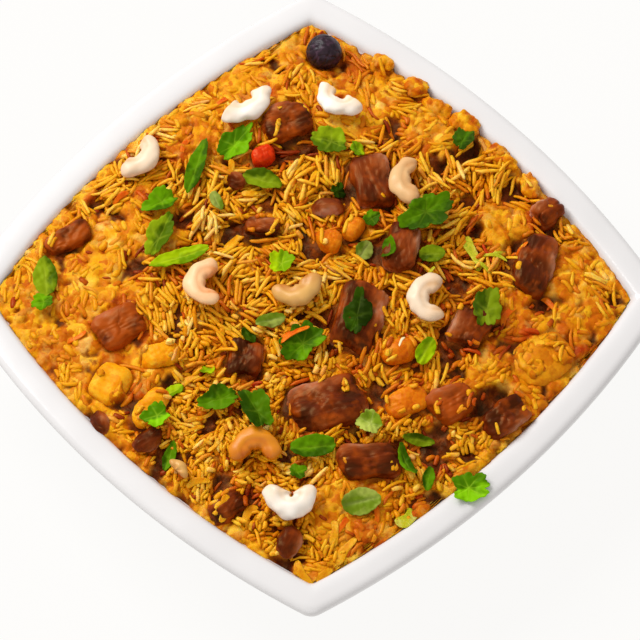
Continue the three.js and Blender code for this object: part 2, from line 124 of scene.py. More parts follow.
# Dark and sunken, with sauce at the bottom, and the rice in them painted darker as shade:
HOLLOWS = [
    (60, -84, 12, 1), (-14, 77, 9, 1), (84, -63, 9, 1), (40, -88, 9, 0.9),
    (68, -36, 8, 1), (71, -45, 5, 1), (60, -96, 7, 1), (70, 5, 8, 1),
    (-23, 36, 7, 1), (-32, 36, 5, 0.8), (14, 52, 7, 0.9), (-15, -149, 8, 0.9),
    (-29, -114, 8, 1), (-63, 41, 7, 1), (-57, 28, 6, 0.8), (6, -18, 7, 1),
    (-44, -105, 7, 1), (-78, -105, 7, 0.9), (-64, -114, 5, 0.9), (80, 36, 6, 1),
    (115, -6, 6, 0.8), (102, 27, 5, 0.9), (91, -57, 6, 1), (32, -56, 6, 0.9),
    (-29, -47, 6, 0.9), (-109, -68, 5, 0.8),
]
# Soft lumps that lie over the rim's inner edge: [across, away, half length, half width] in millimetres.
RIM_LUMPS = [
    (51.9, 119.4, 7, 5), (62.9, 106.4, 8, 5), (76.9, 98.4, 8, 6), (94.9, 78.4, 9, 5),
    (108.9, 62.4, 7, 5), (35.9, 133.4, 6, 4),
]
LUMP_RISE = 3.2 * MM

# Small coriander bits: [across, away, turn, length, width] in millimetres and degrees.
LEAF_BITS = [
    (-20.3, -19.8, 15, 14, 8), (-31.3, -26.8, 110, 10, 7), (38.7, 19.2, 70, 11, 9), (59.7, 18.2, 0, 12, 9),
    (25.7, 22.2, 60, 10, 9), (29.7, 39.2, 25, 10, 8), (55.7, -36.8, 65, 14, 9), (12.7, 56.2, 80, 10, 8),
    (22.7, 78.2, 120, 10, 8), (-47.3, 49.2, 110, 11, 6), (51.7, -81.8, -10, 15, 6), (45.7, -96.8, 115, 17, 6),
    (56.7, -103.8, 80, 12, 6), (-7.3, -101.8, 20, 10, 8), (-51.3, -45.8, 60, 8, 7), (-67.3, -54.8, 30, 9, 7),
    (-69.3, -89.8, 70, 14, 6),
]
# Each bit's shade and number of lobes.
LEAF_BIT_KIND = [
    ("pale", 1), ("dark", 1), ("fresh", 1), ("olive", 1), ("pale", 1), ("fresh", 3), ("lime", 1),
    ("dark", 3), ("lime", 3), ("pale", 1), ("olive", 1), ("fresh", 1), ("fresh", 1), ("fresh", 3),
    ("lime", 1), ("lime", 1), ("fresh", 1),
]
# Crumbs of meat: [across, away, length] in millimetres.
MEAT_BITS = [(8.7, 46.2, 14), (-79.3, -82.8, 15), (-11.3, -136.8, 16), (-103.3, -70.8, 12), (-38.3, 61.2, 12)]


# ---- Numbers and fields ----


def srgb(red, green, blue):
    """A screen colour of 0 to 255 as linear light."""
    value = np.array([red, green, blue]) / 255
    return np.where(value <= 0.04045, value / 12.92, ((value + 0.055) / 1.055) ** 2.4)


def place(across, away):
    """X and Y of a spot so many millimetres across and away from the middle: both turned by an eighth
    of a turn."""
    across, away = across * MM, away * MM
    return (across - away) * np.sqrt(0.5), (across + away) * np.sqrt(0.5)


def wobble(x, y, z, seed):
    """Slow unevenness of -1 to 1: products of sines at two scales, shifted by seed."""
    coarse = np.sin(x + 1.7 * seed) * np.cos(y + 2.3 * seed) + np.sin(z + 0.9 * seed)
    fine = np.sin(2.3 * y + seed) * np.cos(2.1 * z - seed) * np.sin(1.9 * x + 3.1 * seed)
    return 0.3 * coarse + 0.4 * fine


def ripple(points, size, seed, waves=16):
    """Smooth random relief of about -1 to 1: a sum of sines along random directions, with wavelengths
    near size. points has any shape that ends in its coordinates."""
    draw = np.random.default_rng(seed)
    axes = draw.normal(size=(points.shape[-1], waves))
    axes /= np.linalg.norm(axes, axis=0)
    phases = points @ (axes * (2 * np.pi / (size * draw.uniform(0.7, 1.5, waves))))
    return np.sin(phases + draw.uniform(0, 2 * np.pi, waves)).sum(-1) / np.sqrt(waves)


def cells(x, y, size, seed):
    """Which of a jittered lattice's spots is nearest: how far off it is, in lattice steps, and a number
    of 0 to 1 that is that spot's own. Sines make the cells' edges wander."""
    x = x + 0.16 * size * np.sin(y / (0.3 * size) + seed)
    y = y + 0.16 * size * np.sin(x / (0.26 * size) + 2 * seed)
    column, row = np.floor(x / size), np.floor(y / size)
    nearest = np.full(np.shape(x), 9.0)
    own = np.zeros(np.shape(x))
    for step_x in (-1, 0, 1):
        for step_y in (-1, 0, 1):
            i, j = column + step_x, row + step_y
            jitter_x = np.modf(np.abs(np.sin(i * 127.1 + j * 311.7 + seed) * 43758.5))[0]
            jitter_y = np.modf(np.abs(np.sin(i * 269.5 + j * 183.3 + seed) * 24634.6))[0]
            reach = np.hypot(x / size - i - jitter_x, y / size - j - jitter_y)
            own = np.where(reach < nearest, np.modf(7.3 * jitter_x + 5.1 * jitter_y)[0], own)
            nearest = np.minimum(nearest, reach)
    return nearest, own


def heap_height(x, y):
    """The smooth heap: a flat-topped dome over the bowed square, with slow rises and dips."""
    inner = DISH_SPAN / 2 - RIM_WIDTH
    u = x / (inner + DISH_BOW * (1 - (y / inner) ** 2))
    v = y / (inner + DISH_BOW * (1 - (x / inner) ** 2))
    dome = np.clip(1 - u * u, 0, None) * np.clip(1 - v * v, 0, None)
    uneven = wobble(x / (17 * MM), y / (15 * MM), (x - y) / (21 * MM), 2) * np.minimum(1, 3 * dome)
    return DISH_HEIGHT + HEAP_EDGE + HEAP_RISE * dome**0.6 + HEAP_WAVE * uneven


def wall_inset(x, y):
    """How far a spot lies inside the dish's outline: the least gap to its four arcs."""
    sideways = ARC - np.hypot(np.abs(x) + BACK, y)
    upright = ARC - np.hypot(x, np.abs(y) + BACK)
    return np.minimum(sideways, upright)


def inner_square(inset):
    """Half the span and the bow of the square with bowed sides at an inset from the dish's outline."""
    corner = (np.sqrt(2 * (ARC - inset) ** 2 - BACK**2) - BACK) / 2
    return corner, APEX - inset - corner


def nearness(x, y, across, away, radius):
    """1 at a round patch's middle, 0 at its radius, and falling evenly on from there."""
    middle_x, middle_y = place(across, away)
    return 1 - np.hypot(x - middle_x, y - middle_y) / (radius * MM)


def clumpiness(x, y):
    """How soft and clumped the rice is at a spot, from 0 to 1: the strongest of the soft-edged discs,
    with its edge broken up by ripples."""
    spots = np.stack([x, y], -1)
    ragged = 0.35 * ripple(spots, 22 * MM, 5) + 0.2 * ripple(spots, 9 * MM, 6)
    strongest = np.zeros(np.shape(x))
    for row in CLUMPS:
        strongest = np.maximum(strongest, nearness(x, y, *row))
    return np.clip((strongest + 0.25 * ragged) * 3.2, 0, 1)


def patchiness(rows, x, y, seed):
    """How strongly round patches cover a spot, from 0 to 1: full in each one's inner half, and fading
    to a ragged edge."""
    ragged = 0.35 * ripple(np.stack([x, y], -1), 6 * MM, seed)
    covered = np.zeros(np.shape(x))
    for across, away, radius, strength in rows:
        inside = 2 * nearness(x, y, across, away, radius) + ragged
        covered = np.maximum(covered, strength * np.clip(inside, 0, 1))
    return covered


# ---- Meshes from arrays ----


def directions(rows, cols):
    """Unit directions [rows, cols, 3] all round, in rings from one pole of the first axis to the other."""
    tilt = np.linspace(0, np.pi, rows + 2)[1:-1, None]
    turn = np.linspace(0, 2 * np.pi, cols, endpoint=False)
    return np.stack([np.cos(tilt) + 0 * turn, np.sin(tilt) * np.cos(turn), np.sin(tilt) * np.sin(turn)], -1)


def even(value):
    """An attribute that is the same at every point."""
    return np.full((1, 1, 1, 1), value)


def join_grids(name, points, attributes=None):
    """A closed, smooth mesh from points[n, rows, cols, 3]: n surfaces whose columns wrap round and whose
    first and last rows are closed by fans. attributes gives arrays over [n, rows, cols, size]."""
    count, rows, cols = points.shape[:3]
    poles = np.stack([points[:, 0].mean(1), points[:, -1].mean(1)], 1)
    per_piece = rows * cols + 2
    verts = np.concatenate([points.reshape(count, -1, 3), poles], 1)
    grid = np.arange(rows * cols).reshape(rows, cols)
    beside = np.roll(grid, -1, axis=1)
    quads = np.stack([grid[:-1], beside[:-1], beside[1:], grid[1:]], -1).reshape(-1, 4)
    start = np.stack([beside[0], grid[0], np.full(cols, rows * cols)], -1)
    end = np.stack([grid[-1], beside[-1], np.full(cols, rows * cols + 1)], -1)
    fans = np.concatenate([start, end])
    shift = (np.arange(count) * per_piece)[:, None, None]
    loops = np.concatenate([(quads + shift).reshape(-1), (fans + shift).reshape(-1)])
    sizes = np.concatenate([np.full(count * len(quads), 4), np.full(count * len(fans), 3)])
    mesh = bpy.data.meshes.new(name)
    mesh.vertices.add(count * per_piece)
    mesh.vertices.foreach_set("co", verts.astype(np.float32).ravel())
    mesh.loops.add(len(loops))
    mesh.loops.foreach_set("vertex_index", loops.astype(np.int32))
    mesh.polygons.add(len(sizes))
    starts = np.concatenate([[0], np.cumsum(sizes)[:-1]])
    mesh.polygons.foreach_set("loop_start", starts.astype(np.int32))
    mesh.polygons.foreach_set("use_smooth", np.full(len(sizes), True))
    for key, values in (attributes or {}).items():
        size = values.shape[-1]
        full = np.broadcast_to(values, (count, rows, cols, size)).reshape(count, -1, size)
        ends = full[:, [0, -1]]
        data = np.concatenate([full, ends], 1).reshape(-1, size)
        if size == 3:
            layer = mesh.attributes.new(key, "FLOAT_VECTOR", "POINT")
            layer.data.foreach_set("vector", data.astype(np.float32).ravel())
        else:
            layer = mesh.attributes.new(key, "FLOAT", "POINT")
            layer.data.foreach_set("value", data.astype(np.float32).ravel())
    mesh.update(calc_edges=True)
    return mesh


def add(name, data):
    """A new object in the scene."""
    made = bpy.data.objects.new(name, data)
    bpy.context.scene.collection.objects.link(made)
    return made


def piece(name, mesh, material, slot, *nodes):
    """An object that rides with the dish, in its material, standing for the CAD nodes named."""
    made = add(name, mesh)
    mesh.materials.append(material)
    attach(made, "root")
    if nodes:
        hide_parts(*nodes)
    return made


def solid_faces(name):
    """The corners [n, 3, 3] of a CAD node's triangles."""
    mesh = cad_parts[name].data
    coords = np.empty(len(mesh.vertices) * 3)
    mesh.vertices.foreach_get("co", coords)
    mesh.calc_loop_triangles()
    corners = np.empty(len(mesh.loop_triangles) * 3, dtype=np.int32)
    mesh.loop_triangles.foreach_get("vertices", corners)
    return coords.reshape(-1, 3)[corners].reshape(-1, 3, 3)


def cloud(faces, steps=14):
    """Points spread over triangles: every pair of shares of their two edges that adds up to one or less."""
    first, second = np.meshgrid(np.linspace(0, 1, steps), np.linspace(0, 1, steps))
    keep = first + second <= 1
    first, second = first[keep], second[keep]
    edges = faces[:, None, 1:] - faces[:, None, :1]
    return (faces[:, :1] + edges[:, :, 0] * first[:, None] + edges[:, :, 1] * second[:, None]).reshape(-1, 3)


def own_axes(points):
    """The middle of a cloud and its three axes as rows, longest first, with the last one upwards."""
    middle = points.mean(0)
    axes = np.linalg.eigh(np.cov((points - middle).T))[1].T[::-1]
    axes[2] *= np.sign(axes[2, 2])
    axes[1] = np.cross(axes[2], axes[0])
    return middle, axes


# ---- Materials ----


OIL = (1, 0.64, 0.22, 1)  # tint of the gloss on what turmeric oil coats
# Cooked rice lets a little light through, red the furthest.
FLESH = {"Subsurface_Weight": 0.5, "Subsurface_Radius": (1.0, 0.6, 0.2), "Subsurface_Scale": 2.2 * MM}


class Finish:
    """A material with a Principled shader, and short calls for the nodes that feed it."""

    def __init__(self, name, roughness, **sockets):
        self.material = bpy.data.materials.new(name)
        self.material.use_nodes = True
        self.tree = self.material.node_tree
        self.shader = self.tree.nodes["Principled BSDF"]
        self.set("Roughness", roughness)
        for key, value in sockets.items():
            self.set(key.replace("_", " "), value)

    def set(self, socket, value):
        self.shader.inputs[socket].default_value = value

    def node(self, kind, inputs=None, **settings):
        made = self.tree.nodes.new(kind)
        for key, value in settings.items():
            setattr(made, key, value)
        for key, value in (inputs or {}).items():
            if isinstance(value, bpy.types.NodeSocket):
                self.tree.links.new(value, made.inputs[key])
            else:
                made.inputs[key].default_value = value
        return made

    def feed(self, socket, value):
        self.tree.links.new(value, self.shader.inputs[socket])

    def place(self):
        return self.node("ShaderNodeTexCoord").outputs["Object"]

    def attribute(self, name, output="Vector"):
        return self.node("ShaderNodeAttribute", attribute_name=name).outputs[output]

    def stretched(self, vector, scale):
        return self.node("ShaderNodeMapping", {"Vector": vector, "Scale": scale}).outputs["Vector"]

    def noise(self, vector, scale, detail=3.0, roughness=0.55):
        inputs = {"Vector": vector, "Scale": scale, "Detail": detail, "Roughness": roughness}
        return self.node("ShaderNodeTexNoise", inputs).outputs["Fac"]

    def patches(self, vector, scale, wander):
        """Voronoi cells with wandering edges: the distance from each one's middle, and its own shade."""
        shift = self.node("ShaderNodeTexNoise", {"Vector": vector, "Scale": 1.6 * scale, "Detail": 2.0})
        moved = self.node(
            "ShaderNodeVectorMath",
            {0: shift.outputs["Color"], 1: (wander, wander, wander), 2: vector},
            operation="MULTIPLY_ADD",
        )
        made = self.node("ShaderNodeTexVoronoi", {"Vector": moved.outputs["Vector"], "Scale": scale})
        return made.outputs["Distance"], made.outputs["Color"]

    def weigh(self, first, share, second):
        """The first value times the share, plus the second."""
        made = self.node("ShaderNodeMath", {0: first, 1: share, 2: second}, operation="MULTIPLY_ADD")
        return made.outputs["Value"]

    def ramp(self, value, stops):
        made = self.node("ShaderNodeValToRGB", {"Fac": value})
        band = made.color_ramp
        while len(band.elements) < len(stops):
            band.elements.new(0.5)
        for element, (spot, colour) in zip(band.elements, stops):
            element.position = spot
            element.color = (*colour, 1)
        return made.outputs["Color"]

    def grade(self, value, low, high, to_low=0.0, to_high=1.0):
        inputs = {"Value": value, "From Min": low, "From Max": high, "To Min": to_low, "To Max": to_high}
        return self.node("ShaderNodeMapRange", inputs).outputs["Result"]

    def mix(self, share, first, second, blend="MIX"):
        made = self.node("ShaderNodeMix", data_type="RGBA", blend_type=blend)
        for socket, value in zip((made.inputs[0], made.inputs[6], made.inputs[7]), (share, first, second)):
            if isinstance(value, bpy.types.NodeSocket):
                self.tree.links.new(value, socket)
            elif socket.type == "RGBA":
                socket.default_value = (*value, 1)
            else:
                socket.default_value = value
        return made.outputs[2]

    def bump(self, height, distance, strength=1.0):
        made = self.node("ShaderNodeBump", {"Height": height, "Distance": distance, "Strength": strength})
        self.feed("Normal", made.outputs["Normal"])


def porcelain_finish():
    """White glaze: nearly even, with faint clouds and a slow waviness."""
    made = Finish("porcelain_glaze", 0.2, Coat_Weight=0.25, Coat_Roughness=0.08, Specular_IOR_Level=0.35)
    spot = made.place()
    clouds = made.noise(spot, 18.0, 2.0)
    made.feed("Base Color", made.ramp(clouds, [(0.3, srgb(216, 213, 212)), (0.7, srgb(222, 219, 218))]))
    made.feed("Roughness", made.grade(made.noise(spot, 60.0), 0.3, 0.7, 0.16, 0.26))
    made.bump(made.noise(spot, 25.0, 1.0), 0.3 * MM, 0.25)
    return made.material


def core_finish():
    """The body of the heap: deep maroon where it lies bare between grains, partly sauce and partly
    painted shade in the gaps, and elsewhere its own tint in flaky patches of orange and yellow, with
    red-brown spots."""
    made = Finish("rice_body", 0.5, Specular_IOR_Level=0.22, Specular_Tint=OIL, **FLESH)
    spot = made.place()
    # Painted shade and sauce: the dark maroon of the body where it shows bare between the grains.
    shades = [(0.35, srgb(44, 9, 1)), (0.55, srgb(92, 30, 3)), (0.75, srgb(150, 70, 8))]
    deep = made.ramp(made.noise(spot, 160.0, 5.0, 0.6), shades)
    tint = made.attribute("tint", "Color")
    reach, shade = made.patches(spot, 230.0, 0.004)
    stained = made.mix(0.9, tint, srgb(222, 164, 46), "MULTIPLY")
    soft = made.mix(made.grade(shade, 0.3, 0.7), tint, stained)
    mottle = made.grade(made.noise(spot, 230.0, 3.0, 0.5), 0.42, 0.66, 0.0, 0.5)
    soft = made.mix(mottle, soft, made.mix(0.7, tint, srgb(206, 118, 22), "MULTIPLY"))
    specks = made.grade(made.noise(spot, 170.0, 4.0, 0.6), 0.6, 0.7, 0.0, 0.7)
    soft = made.mix(specks, soft, srgb(126, 40, 4))
    pale = made.grade(made.noise(spot, 110.0, 3.0), 0.54, 0.74, 0.0, 0.5)
    soft = made.mix(pale, soft, srgb(240, 202, 92))
    made.feed("Base Color", made.mix(made.attribute("bare", "Fac"), soft, deep))
    made.bump(made.weigh(reach, -0.9, made.noise(spot, 420.0, 4.0, 0.5)), 0.9 * MM, 0.6)
    return made.material


def grain_finish(name):
    """Cooked rice: each grain's own tint, mottled along it, under a thin film of oil."""
    made = Finish(name, 0.4, Specular_IOR_Level=0.36, Specular_Tint=OIL, **FLESH)
    tint = made.attribute("tint", "Color")
    spot = made.place()
    mottle = made.grade(made.noise(spot, 420.0, 3.0), 0.38, 0.72)
    stained = made.mix(0.6, tint, srgb(236, 176, 60), "MULTIPLY")
    made.feed("Base Color", made.mix(mottle, tint, stained))
    made.bump(made.noise(spot, 900.0, 2.0), 0.15 * MM, 0.4)
    return made.material


def meat_finish():
    """Braised meat: brown in clouds, with short fibres along the chunk, painted shade darkening its creases,
    and orange masala on it.
    """
    made = Finish("braised_meat", 0.4, Specular_IOR_Level=0.25, Specular_Tint=OIL)
    own = made.attribute("own")
    fibre = made.noise(made.stretched(own, (150.0, 460.0, 460.0)), 1.0, 4.0, 0.55)
    clouds = made.noise(own, 38.0, 1.6, 0.4)
    tone = made.weigh(clouds, 3.4, made.weigh(fibre, 0.5, made.attribute("pale", "Fac")))
    tone = made.grade(tone, 1.37, 2.52)
    shades = [
        (0.08, srgb(60, 12, 1)), (0.34, srgb(96, 28, 3)), (0.54, srgb(124, 48, 12)),
        (0.74, srgb(152, 82, 44)), (0.92, srgb(188, 134, 104)),
    ]
    brown = made.ramp(tone, shades)
    # Painted shade: the creases of the relief are darkened towards a near-black brown.
    crease = made.grade(made.attribute("depth", "Fac"), -0.4, -1.8, 0.0, 0.6)
    brown = made.mix(crease, brown, srgb(50, 10, 0))
    patch = made.weigh(made.attribute("sauce", "Fac"), 1.0, made.noise(own, 120.0, 3.0, 0.5))
    sauce = made.grade(patch, 0.6, 0.85, 0.0, 0.8)
    made.feed("Base Color", made.mix(sauce, brown, srgb(166, 68, 6)))
    made.bump(fibre, 0.5 * MM, 0.6)
    return made.material


def vegetable_finish(name, low, middle, high, roughness):
    """Soft cooked vegetable: three shades in soft clouds, with fine pitting under oil."""
    made = Finish(name, roughness, Specular_IOR_Level=0.3, Specular_Tint=OIL, **FLESH)
    own = made.attribute("own")
    shade = made.patches(own, 170.0, 0.005)[1]
    clouds = made.weigh(shade, 0.25, made.noise(own, 95.0, 4.0))
    colour = made.ramp(clouds, [(0.42, low), (0.62, middle), (0.82, high)])
    stain = made.grade(made.noise(own, 140.0, 4.0, 0.6), 0.56, 0.72, 0.0, 0.6)
    made.feed("Base Color", made.mix(stain, colour, made.mix(1.0, low, srgb(226, 150, 60), "MULTIPLY")))
    made.bump(made.noise(own, 420.0, 4.0), 0.35 * MM, 0.5)
    return made.material


def plum_finish():
    """Dark plum skin: black with a violet-brown bloom in soft patches."""
    made = Finish("plum_skin", 0.42, Specular_IOR_Level=0.3)
    own = made.attribute("own")
    skin = made.noise(own, 260.0, 4.0)
    shades = [(0.35, srgb(16, 3, 8)), (0.55, srgb(40, 18, 32)), (0.75, srgb(84, 56, 72))]
    made.feed("Base Color", made.ramp(skin, shades))
    made.bump(made.noise(own, 380.0, 3.0), 0.4 * MM, 0.6)
    return made.material


def cashew_finish(name, pale, toasted_and_shaded):
    """Cashew: a pale shade that browns at its tips and back, with painted shade in its crease and on the
    inner side of its bend, finely pitted.
    """
    made = Finish(name, 0.4, Specular_IOR_Level=0.35)
    spot = made.place()
    clouds = made.noise(spot, 120.0, 3.0)
    toast_and_shade = made.node("ShaderNodeMath", {0: made.attribute("toast_and_shade", "Fac"), 1: clouds}, operation="MULTIPLY")
    share = made.grade(toast_and_shade.outputs["Value"], 0.1, 0.55)
    made.feed("Base Color", made.mix(share, pale, toasted_and_shaded))
    made.bump(made.noise(spot, 700.0, 3.0), 0.12 * MM, 0.4)
    return made.material


def leaf_finish(name, blade, other, vein):
    """Coriander: one half of the blade darker than the other, as painted shade across its fold, with soft
    patches and paler veins that fan out from the stalk, all made lighter or darker by the leaf's own
    light, which is partly its own tone and partly painted light and shade."""
    made = Finish(name, 0.45, Specular_IOR_Level=0.1, Specular_Tint=(0.8, 1, 0.2, 1))
    patches = made.grade(made.noise(made.place(), 110.0, 3.0), 0.35, 0.65, -0.6, 0.6)
    tone = made.weigh(made.attribute("half", "Fac"), 1.0, patches)
    green = made.mix(made.grade(tone, 0.1, 0.9), blade, other)
    ribs = made.grade(made.attribute("vein", "Fac"), 0.0, 1.0, 0.0, 0.3)
    # Partly painted light and shade, partly the leaf's own tone: each leaf's colour is multiplied by its
    # light factor.
    lit = made.mix(1.0, made.mix(ribs, green, vein), made.attribute("light", "Fac"), "MULTIPLY")
    made.feed("Base Color", lit)
    made.bump(made.noise(made.place(), 800.0, 2.0), 0.12 * MM, 0.5)
    return made.material


# ---- The dish ----


def outline(inset, fillet):
    """One turn of the dish's plan [points, 2], moved in by inset: arcs of radius ARC about centres BACK
    behind the middle, joined by fillets, the first quarter repeated by quarter turns."""
    reach = ARC - inset
    corner = (np.sqrt(2 * (reach - fillet) ** 2 - BACK**2) - BACK) / 2
    turn = np.arctan2(corner, corner + BACK)
    side = np.linspace(-turn, turn, 40, endpoint=False)
    bend = np.linspace(turn, np.pi / 2 - turn, 14, endpoint=False)
    x = np.concatenate([reach * np.cos(side) - BACK, corner + fillet * np.cos(bend)])
    y = np.concatenate([reach * np.sin(side), corner + fillet * np.sin(bend)])
    quarter = x + 1j * y
    whole = np.concatenate([quarter * 1j**k for k in range(4)])
    return np.stack([whole.real, whole.imag], -1)


def smoothed(knots, steps):
    """A Catmull-Rom curve through the knots, with steps points from each to the next."""
    knots = np.array(knots)
    padded = np.concatenate([2 * knots[:1] - knots[1:2], knots, 2 * knots[-1:] - knots[-2:-1]])
    before, start, end, after = padded[:-3], padded[1:-2], padded[2:-1], padded[3:]
    t = np.linspace(0, 1, steps, endpoint=False)[:, None, None]
    curve = (
        2 * start
        + (end - before) * t
        + (2 * before - 5 * start + 4 * end - after) * t**2
        + (3 * start - before - 3 * end + after) * t**3
    ) / 2
    return np.concatenate([curve.transpose(1, 0, 2).reshape(-1, knots.shape[1]), knots[-1:]])


def wall_curve(low, top, shares):
    """A quarter of an ellipse from the low point up to the top one, both (inset, z)."""
    angle = np.array(shares) * np.pi / 2
    inset = low[0] + (top[0] - low[0]) * np.sin(angle)
    return np.stack([inset, top[1] - (top[1] - low[1]) * np.cos(angle)], -1)


def make_dish():
    """The dish's wall as one closed loft: rings of the plan along the profile, from under the foot, up
    the outside, over the rolled rim, and down the inside to the floor."""
    top = DISH_HEIGHT
    under = top - RIM_DEPTH
    foot = np.array([(60, 2.5), (58.8, 1.6), (58.2, 0.3), (57, 0), (53, 0), (52, 0.4), (51.4, 2)]) * MM
    outer_top = (RIM_WIDTH + 2 * MM - WALL, under - 3 * MM)
    outer_wall = wall_curve(FOOT_TOP, outer_top, np.linspace(0, 1, 8))
    outer_rim = np.array([(5.5, -8.2), (2.6, -7), (0.7, -5.6), (0, -3.7), (0.7, -1.8), (2.6, -0.6)]) * MM
    inner_rim = np.array([(-9.2, -0.15), (-5, 0), (-1.9, -0.5), (-0.1, -1.7), (1.1, -3.6)]) * MM
    inner_rim[:, 0] += RIM_WIDTH
    inner_top = (RIM_WIDTH + 2.5 * MM, under)
    inner_wall = wall_curve((FLOOR_INSET, FLOOR), inner_top, np.linspace(1, 0, 8))
    rise = np.array([0, top])
    outside = np.concatenate([foot, outer_wall, outer_rim + rise])
    inside = np.concatenate([inner_rim + rise, inner_wall])
    outside = np.column_stack([outside, CORNER_ROUND + CORNER_GAIN * outside[:, 0]])
    inside = np.column_stack([inside, CORNER_SHARP + CORNER_GAIN * np.abs(inside[:, 0] - RIM_WIDTH)])
    profile = smoothed(np.concatenate([outside, inside]), 4)
    plans = [(outline(inset, fillet), z) for inset, z, fillet in profile]
    rings = np.stack([np.column_stack([plan, np.full(len(plan), z)]) for plan, z in plans])
    mesh = join_grids("dish_wall", rings[None])
    return piece("dish_wall", mesh, porcelain_finish(), "porcelain", "dish")


# ---- The height map that the rice settles on ----


def blurred(field, times):
    """A map smoothed by averaging each cell with its four neighbours, times over."""
    for _ in range(times):
        beside = [np.roll(field, step, axis) for axis in (0, 1) for step in (-1, 1)]
        field = (field + sum(beside)) / 5
    return field


class HeightMap:
    """What grains can rest on, and what they must stay under, as heights on a square grid."""

    def __init__(self):
        self.cells = int(2 * MAP_HALF / MAP_CELL)
        axis = (np.arange(self.cells) + 0.5) * MAP_CELL - MAP_HALF
        self.x, self.y = np.meshgrid(axis, axis, indexing="ij")
        spots = np.stack([self.x, self.y], -1)
        self.level = heap_height(self.x, self.y)
        self.inset = wall_inset(self.x, self.y)
        shore = np.clip(1.6 - (self.inset - RIM_WIDTH) / (7 * MM), 0, 1)
        self.hollow = patchiness(HOLLOWS, self.x, self.y, 24)
        self.clump = np.maximum(clumpiness(self.x, self.y), shore) * (1 - self.hollow)
        depth = LAYER_DEPTH + (SOFT_DEPTH - LAYER_DEPTH) * self.clump
        self.ground = self.level - depth + 0.9 * MM * ripple(spots, 8 * MM, 9)
        self.ceiling = np.full_like(self.level, HIGHEST)
        self.sunk = np.zeros(self.level.shape, dtype=bool)
        self.shown = np.zeros_like(self.level)
        self.shelf = np.zeros(self.level.shape, dtype=bool)
        self.saucy = np.zeros_like(self.level)
        self.soft = self.clump
        self.owner = np.zeros(self.level.shape, dtype=int)
        reach, own = cells(self.x, self.y, 13 * MM, 4)
        dips = np.clip(ripple(spots, 24 * MM, 12) - 0.5, 0, 1)
        lump = 3.6 * MM * np.clip(1 - reach / 0.85, 0, 1) ** 0.6 + 2 * MM * (own - 0.5)
        rise = lump - 2.4 * MM - 8 * MM * dips
        self.room = self.level + rise * (1 - 0.8 * self.clump) + 1.4 * MM * self.clump
        self.room = self.room - 4.5 * MM * self.hollow
        # Painted shade: how dark the bare body is painted, somewhat everywhere and most in the dips and
        # hollows.
        self.dim = np.clip(2.2 * dips + 0.3 + self.hollow, 0, 1)
        self.heading = 2 * np.pi * cells(self.x, self.y, 11 * MM, 8)[1]

    def spot(self, x, y):
        """The cell under one spot of the map."""
        return int((x + MAP_HALF) / MAP_CELL), int((y + MAP_HALF) / MAP_CELL)

    def cell(self, x, y):
        """The cells under many spots, or the nearest ones to those that lie off the map."""
        return tuple(np.clip(((c + MAP_HALF) / MAP_CELL).astype(int), 0, self.cells - 1) for c in (x, y))

    def cover_chunks(self):
        """Makes the rice round the sunk chunks soft and saucy, and lets it lie over their margins."""
        self.clump = np.maximum(self.clump, self.shown > 1)
        within = blurred(self.sunk.astype(float), 50)
        self.saucy = np.clip(5 * within * (1 - within), 0, 1) * (1 - 0.6 * self.clump)
        self.soft = np.maximum(self.clump, 0.85 * self.saucy) * (1 - self.hollow)
        depth = LAYER_DEPTH + (SOFT_DEPTH - LAYER_DEPTH) * self.soft
        self.ground = np.maximum(self.ground, self.level - depth)
        self.clump = np.maximum(self.clump, 0.45 * self.saucy)
        ragged = ripple(np.stack([self.x, self.y], -1), 11 * MM, 33)
        covered = self.sunk & (within + 0.18 * ragged < self.shown)
        self.room = np.where(self.sunk, np.minimum(self.room, self.ground + CHUNK_ROOM), self.room)
        self.room = np.where(covered, np.maximum(self.room, self.ground + MARGIN_ROOM), self.room)

    def shelve(self, across, away, half_length, half_width):
        """Raises the ground to a lump that lies over the rim's inner edge, and lets grains lie there."""
        x, y = place(across, away)
        turn = np.arctan2(y, x) + np.pi / 2
        box, run, off = self.around(x, y, 2 * half_length * MM, turn)
        dome = 1 - (run / (half_length * MM)) ** 2 - (off / (half_width * MM)) ** 2
        top = DISH_HEIGHT + LUMP_RISE * np.sqrt(np.clip(dome, 0, None))
        inside = dome > 0
        self.ground[box] = np.where(inside, np.maximum(self.ground[box], top), self.ground[box])
        self.room[box] = np.where(inside, np.maximum(self.room[box], top + 2.4 * MM), self.room[box])
        self.shelf[box] |= inside

    def sink(self, points, shown):
        """Raises the ground to a sunk chunk's points, and marks its cells. The higher shown is, the
        further in from its margins the rice may cover it."""
        at = self.cell(points[:, 0], points[:, 1])
        np.maximum.at(self.ground, at, points[:, 2])
        self.sunk[at] = True
        self.shown[at] = shown

    def around(self, x, y, reach, turn):
        """The cells within reach of a spot, with each cell's distance along a direction and across it."""
        i, j = self.spot(x, y)
        span = int(reach / MAP_CELL) + 2
        box = (slice(max(i - span, 0), i + span + 1), slice(max(j - span, 0), j + span + 1))
        dx, dy = self.x[box] - x, self.y[box] - y
        return box, dx * np.cos(turn) + dy * np.sin(turn), dx * np.sin(turn) - dy * np.cos(turn)

    def lay(self, box, inside, top, owner):
        """Raises the ground to the top of what is laid, where it stands over the ground."""
        rises = inside & (top > self.ground[box])
        self.ground[box][rises] = top[rises]
        self.owner[box][rises] = owner

    def roof(self, points):
        """Lowers the ceiling to the points of what lies on top, and lets the rice rise under it."""
        at = self.cell(points[:, 0], points[:, 1])
        np.minimum.at(self.ceiling, at, points[:, 2])
        under = np.minimum(self.ceiling[at], self.level[at] + 3 * MM)
        self.room[at] = np.maximum(self.room[at], under)

